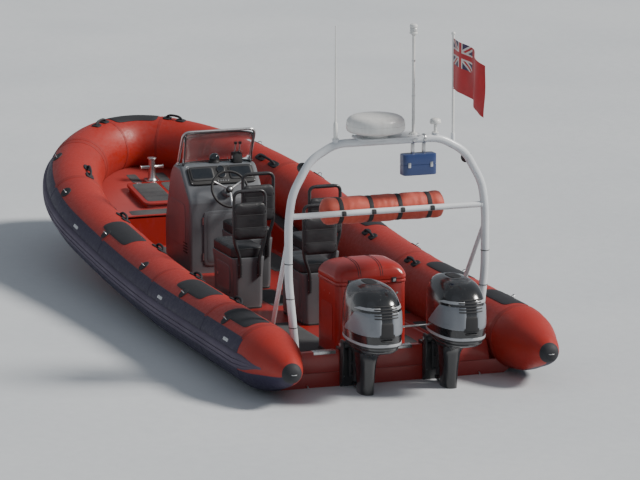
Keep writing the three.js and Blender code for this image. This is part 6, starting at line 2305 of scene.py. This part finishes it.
def make_seats():
    cushion = filled_mesh("cushion_fill", cushion_form(), cushion_held, 0.014)
    back = filled_mesh("back_fill", back_form(), back_held, 0.012)
    for name, x, y in SEATS:
        place = level((x, y, FLOOR_Z + SEAT_GAP))
        make_pod(name, place)
        under = place(SEAT_LENGTH / 2, 0, CUSHION_BASE)
        place_copy(cushion, f"cushion_{name}", under, [f"seat_cushion_{name}"])
        place_copy(back, f"back_pad_{name}", place(0, 0, 0), [f"seat_back_{name}"])
        make_back_frame(name, place)
        make_seat_seams(name, place)


make_seats()

# Aft locker

LOCKER_X, LOCKER_LONG, LOCKER_WIDE, LOCKER_TOP_Z, LOCKER_SIDE = -2.68, 0.25, 0.32, 0.74, 0.028
LID_REACH, LID_HEIGHT = 0.2545, 0.184
# Columns: height, half-length, half-width, corner radius.
DOME_STATIONS = [(0, 0.256, 0.326, 0.064), (0.055, 0.256, 0.326, 0.064), (0.11, 0.238, 0.308, 0.08),
                 (0.15, 0.2, 0.27, 0.09), (0.176, 0.13, 0.2, 0.09), (LID_HEIGHT, 0.06, 0.12, 0.05)]
# Columns: inset, z.
LOCKER_WALLS = [
    (0, FLOOR_Z + SEAT_GAP), (0, 0.3), (0, 0.5), (0, LOCKER_TOP_Z - 0.005), (0.004, LOCKER_TOP_Z),
    (LOCKER_SIDE - 0.004, LOCKER_TOP_Z), (LOCKER_SIDE, LOCKER_TOP_Z - 0.005), (LOCKER_SIDE, FLOOR_Z + 0.07),
    (LOCKER_SIDE + 0.012, FLOOR_Z + 0.04),
]
# Columns: inset, height over the floor.
LOCKER_SKIRT = [(-0.005, 0), (-0.005, 0.02), (0, 0.026), (0.006, 0.026), (0.006, 0)]
# Columns: height, inset.
LID_RINGS = [(0, 0.012), (0, 0.003), (0.003, 0), (0.02, 0), (0.024, 0.0035), (0.03, 0.0035), (0.034, 0)]
LID_RINGS += [(height, 0) for height in (*steps_between(0.042, 0.176, 0.0075), 0.181, LID_HEIGHT)]
LID_RINGS += [(LID_HEIGHT, 0.03)]
LOCKER_SCREW = [(0.003, -0.003), (0.01, 0), (0.01, 0.0012), (0.007, 0.0026), (0, 0.003)]


def make_aft_locker():
    """The locker's box with hatches, corner screws and carrying handles."""
    def ring(inset, z):
        return [(LOCKER_X + a, b, z) for a, b in
                round_rectangle(LOCKER_LONG - inset, LOCKER_WIDE - inset, max(0.012, 0.06 - inset))]

    box = Shape().rings([ring(*row) for row in LOCKER_WALLS])
    box.piece("locker_box", hull_red, replaces=["aft_locker"], slot="hull_gelcoat", sharp=34)
    detail, metal = Shape(), Shape()
    for end in (-1, 1):
        wall = on_plane((LOCKER_X + end * LOCKER_LONG, 0, 0.43), PORT * end, UP)
        add_pads(detail, wall, ((-0.12, 0), (0.12, 0)), 0.085, 0.2, 0.005, 10, 0.002)
        for b in (-0.23, 0.23):
            for c in (-0.22, 0.22):
                metal.turned(LOCKER_SCREW, wall(b, c, 0), AHEAD * end, 18)
    for side in SIDES:
        wall = on_plane((LOCKER_X, side * LOCKER_WIDE, 0.4), (side, 0, 0), UP)
        add_pad(detail, wall, 0.14, 0.16, 0.005, 10, 0.002)
        handle = both_sides([(-0.07, 0.0), (-0.06, 0.034)])
        metal.path(bent_path([wall(a, 0.25, rise) for a, rise in handle], 0.02, 0.008), 0.006, 14)
    skirt = Shape().rings([ring(inset, FLOOR_Z + SEAT_GAP + rise) for inset, rise in LOCKER_SKIRT])
    detail.piece("locker_panels", hull_red, sharp=34)
    metal.piece("locker_metal", steel)
    skirt.piece("locker_skirt", black_plastic)


def lid_ring(height, inset):
    half_length, half_width, corner = read_table(DOME_STATIONS, height)
    radius = min(corner - inset * 0.5, half_length - inset - 0.004)
    return [(LOCKER_X + a, b, LOCKER_TOP_Z + SEAT_GAP + height) for a, b in
            round_rectangle(half_length - inset, half_width - inset, radius, 10, 10)]


def on_lid(share, across):
    """Over the domed lid from aft (-1) to forward (1) at a given y, just above its skin."""
    low, high = 0.0, LID_HEIGHT
    for _ in range(30):
        middle = (low + high) / 2
        if read_table(DOME_STATIONS, middle)[0] > abs(share) * LID_REACH:
            low = middle
        else:
            high = middle
    rise = min(SEAT_GAP + low, LID_HEIGHT - 0.0005)
    return Vector((LOCKER_X + share * LID_REACH, across, LOCKER_TOP_Z + rise))


def make_aft_lid():
    """The domed lid: a lipped rim, a raised crown, two pairs of ribs, latches aft and hinges ahead."""
    lid = Shape().rings([lid_ring(*row) for row in LID_RINGS])
    lid.piece("dome_lid", hull_red, "aft_lid", ["aft_locker_lid"], "hull_gelcoat", 50)
    ribs, metal = Shape(), Shape()
    for across in (-0.1, -0.08, 0.1, 0.12):
        middle = across if across in (-0.1, 0.1) else across - 0.02
        points = [on_lid(share, middle) + PORT * (across - middle) for share in steps_between(-1, 1, 0.04)]
        ribs.path(points, 0.0028, 8, up=PORT)
    for y in (-0.2, 0.2):
        latch = level((LOCKER_X, y, LOCKER_TOP_Z))
        ribs.block(latch(-0.2615, -0.022, 0.006), latch(-0.252, 0.022, 0.05), 0.003)
        metal.block(latch(-0.2655, -0.012, 0.012), latch(-0.2605, 0.012, 0.04), 0.002)
        hinge = level((LOCKER_X + LOCKER_LONG + 0.02, y, LOCKER_TOP_Z))
        metal.rod(hinge(0, -0.035, 0.006), hinge(0, 0.035, 0.006), 0.0065, 18)
        metal.block(hinge(-0.018, -0.03, 0.006), hinge(-0.012, 0.03, 0.04), 0.0015)
        for b in (-0.015, 0.015):
            add_bolt(metal, hinge(-0.0125, b, 0.026), AHEAD, 0.0038, 0.003)
    ribs.piece("dome_ribs", patch_rubber, "aft_lid")
    metal.piece("dome_metal", steel, "aft_lid")


make_aft_locker()
make_aft_lid()

# Sizes and end


def write_sizes():
    boxes = {"cad": CAD_BOX, "visual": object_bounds()}
    {name: [list(corner) for corner in box] for name, box in boxes.items()}


write_sizes()
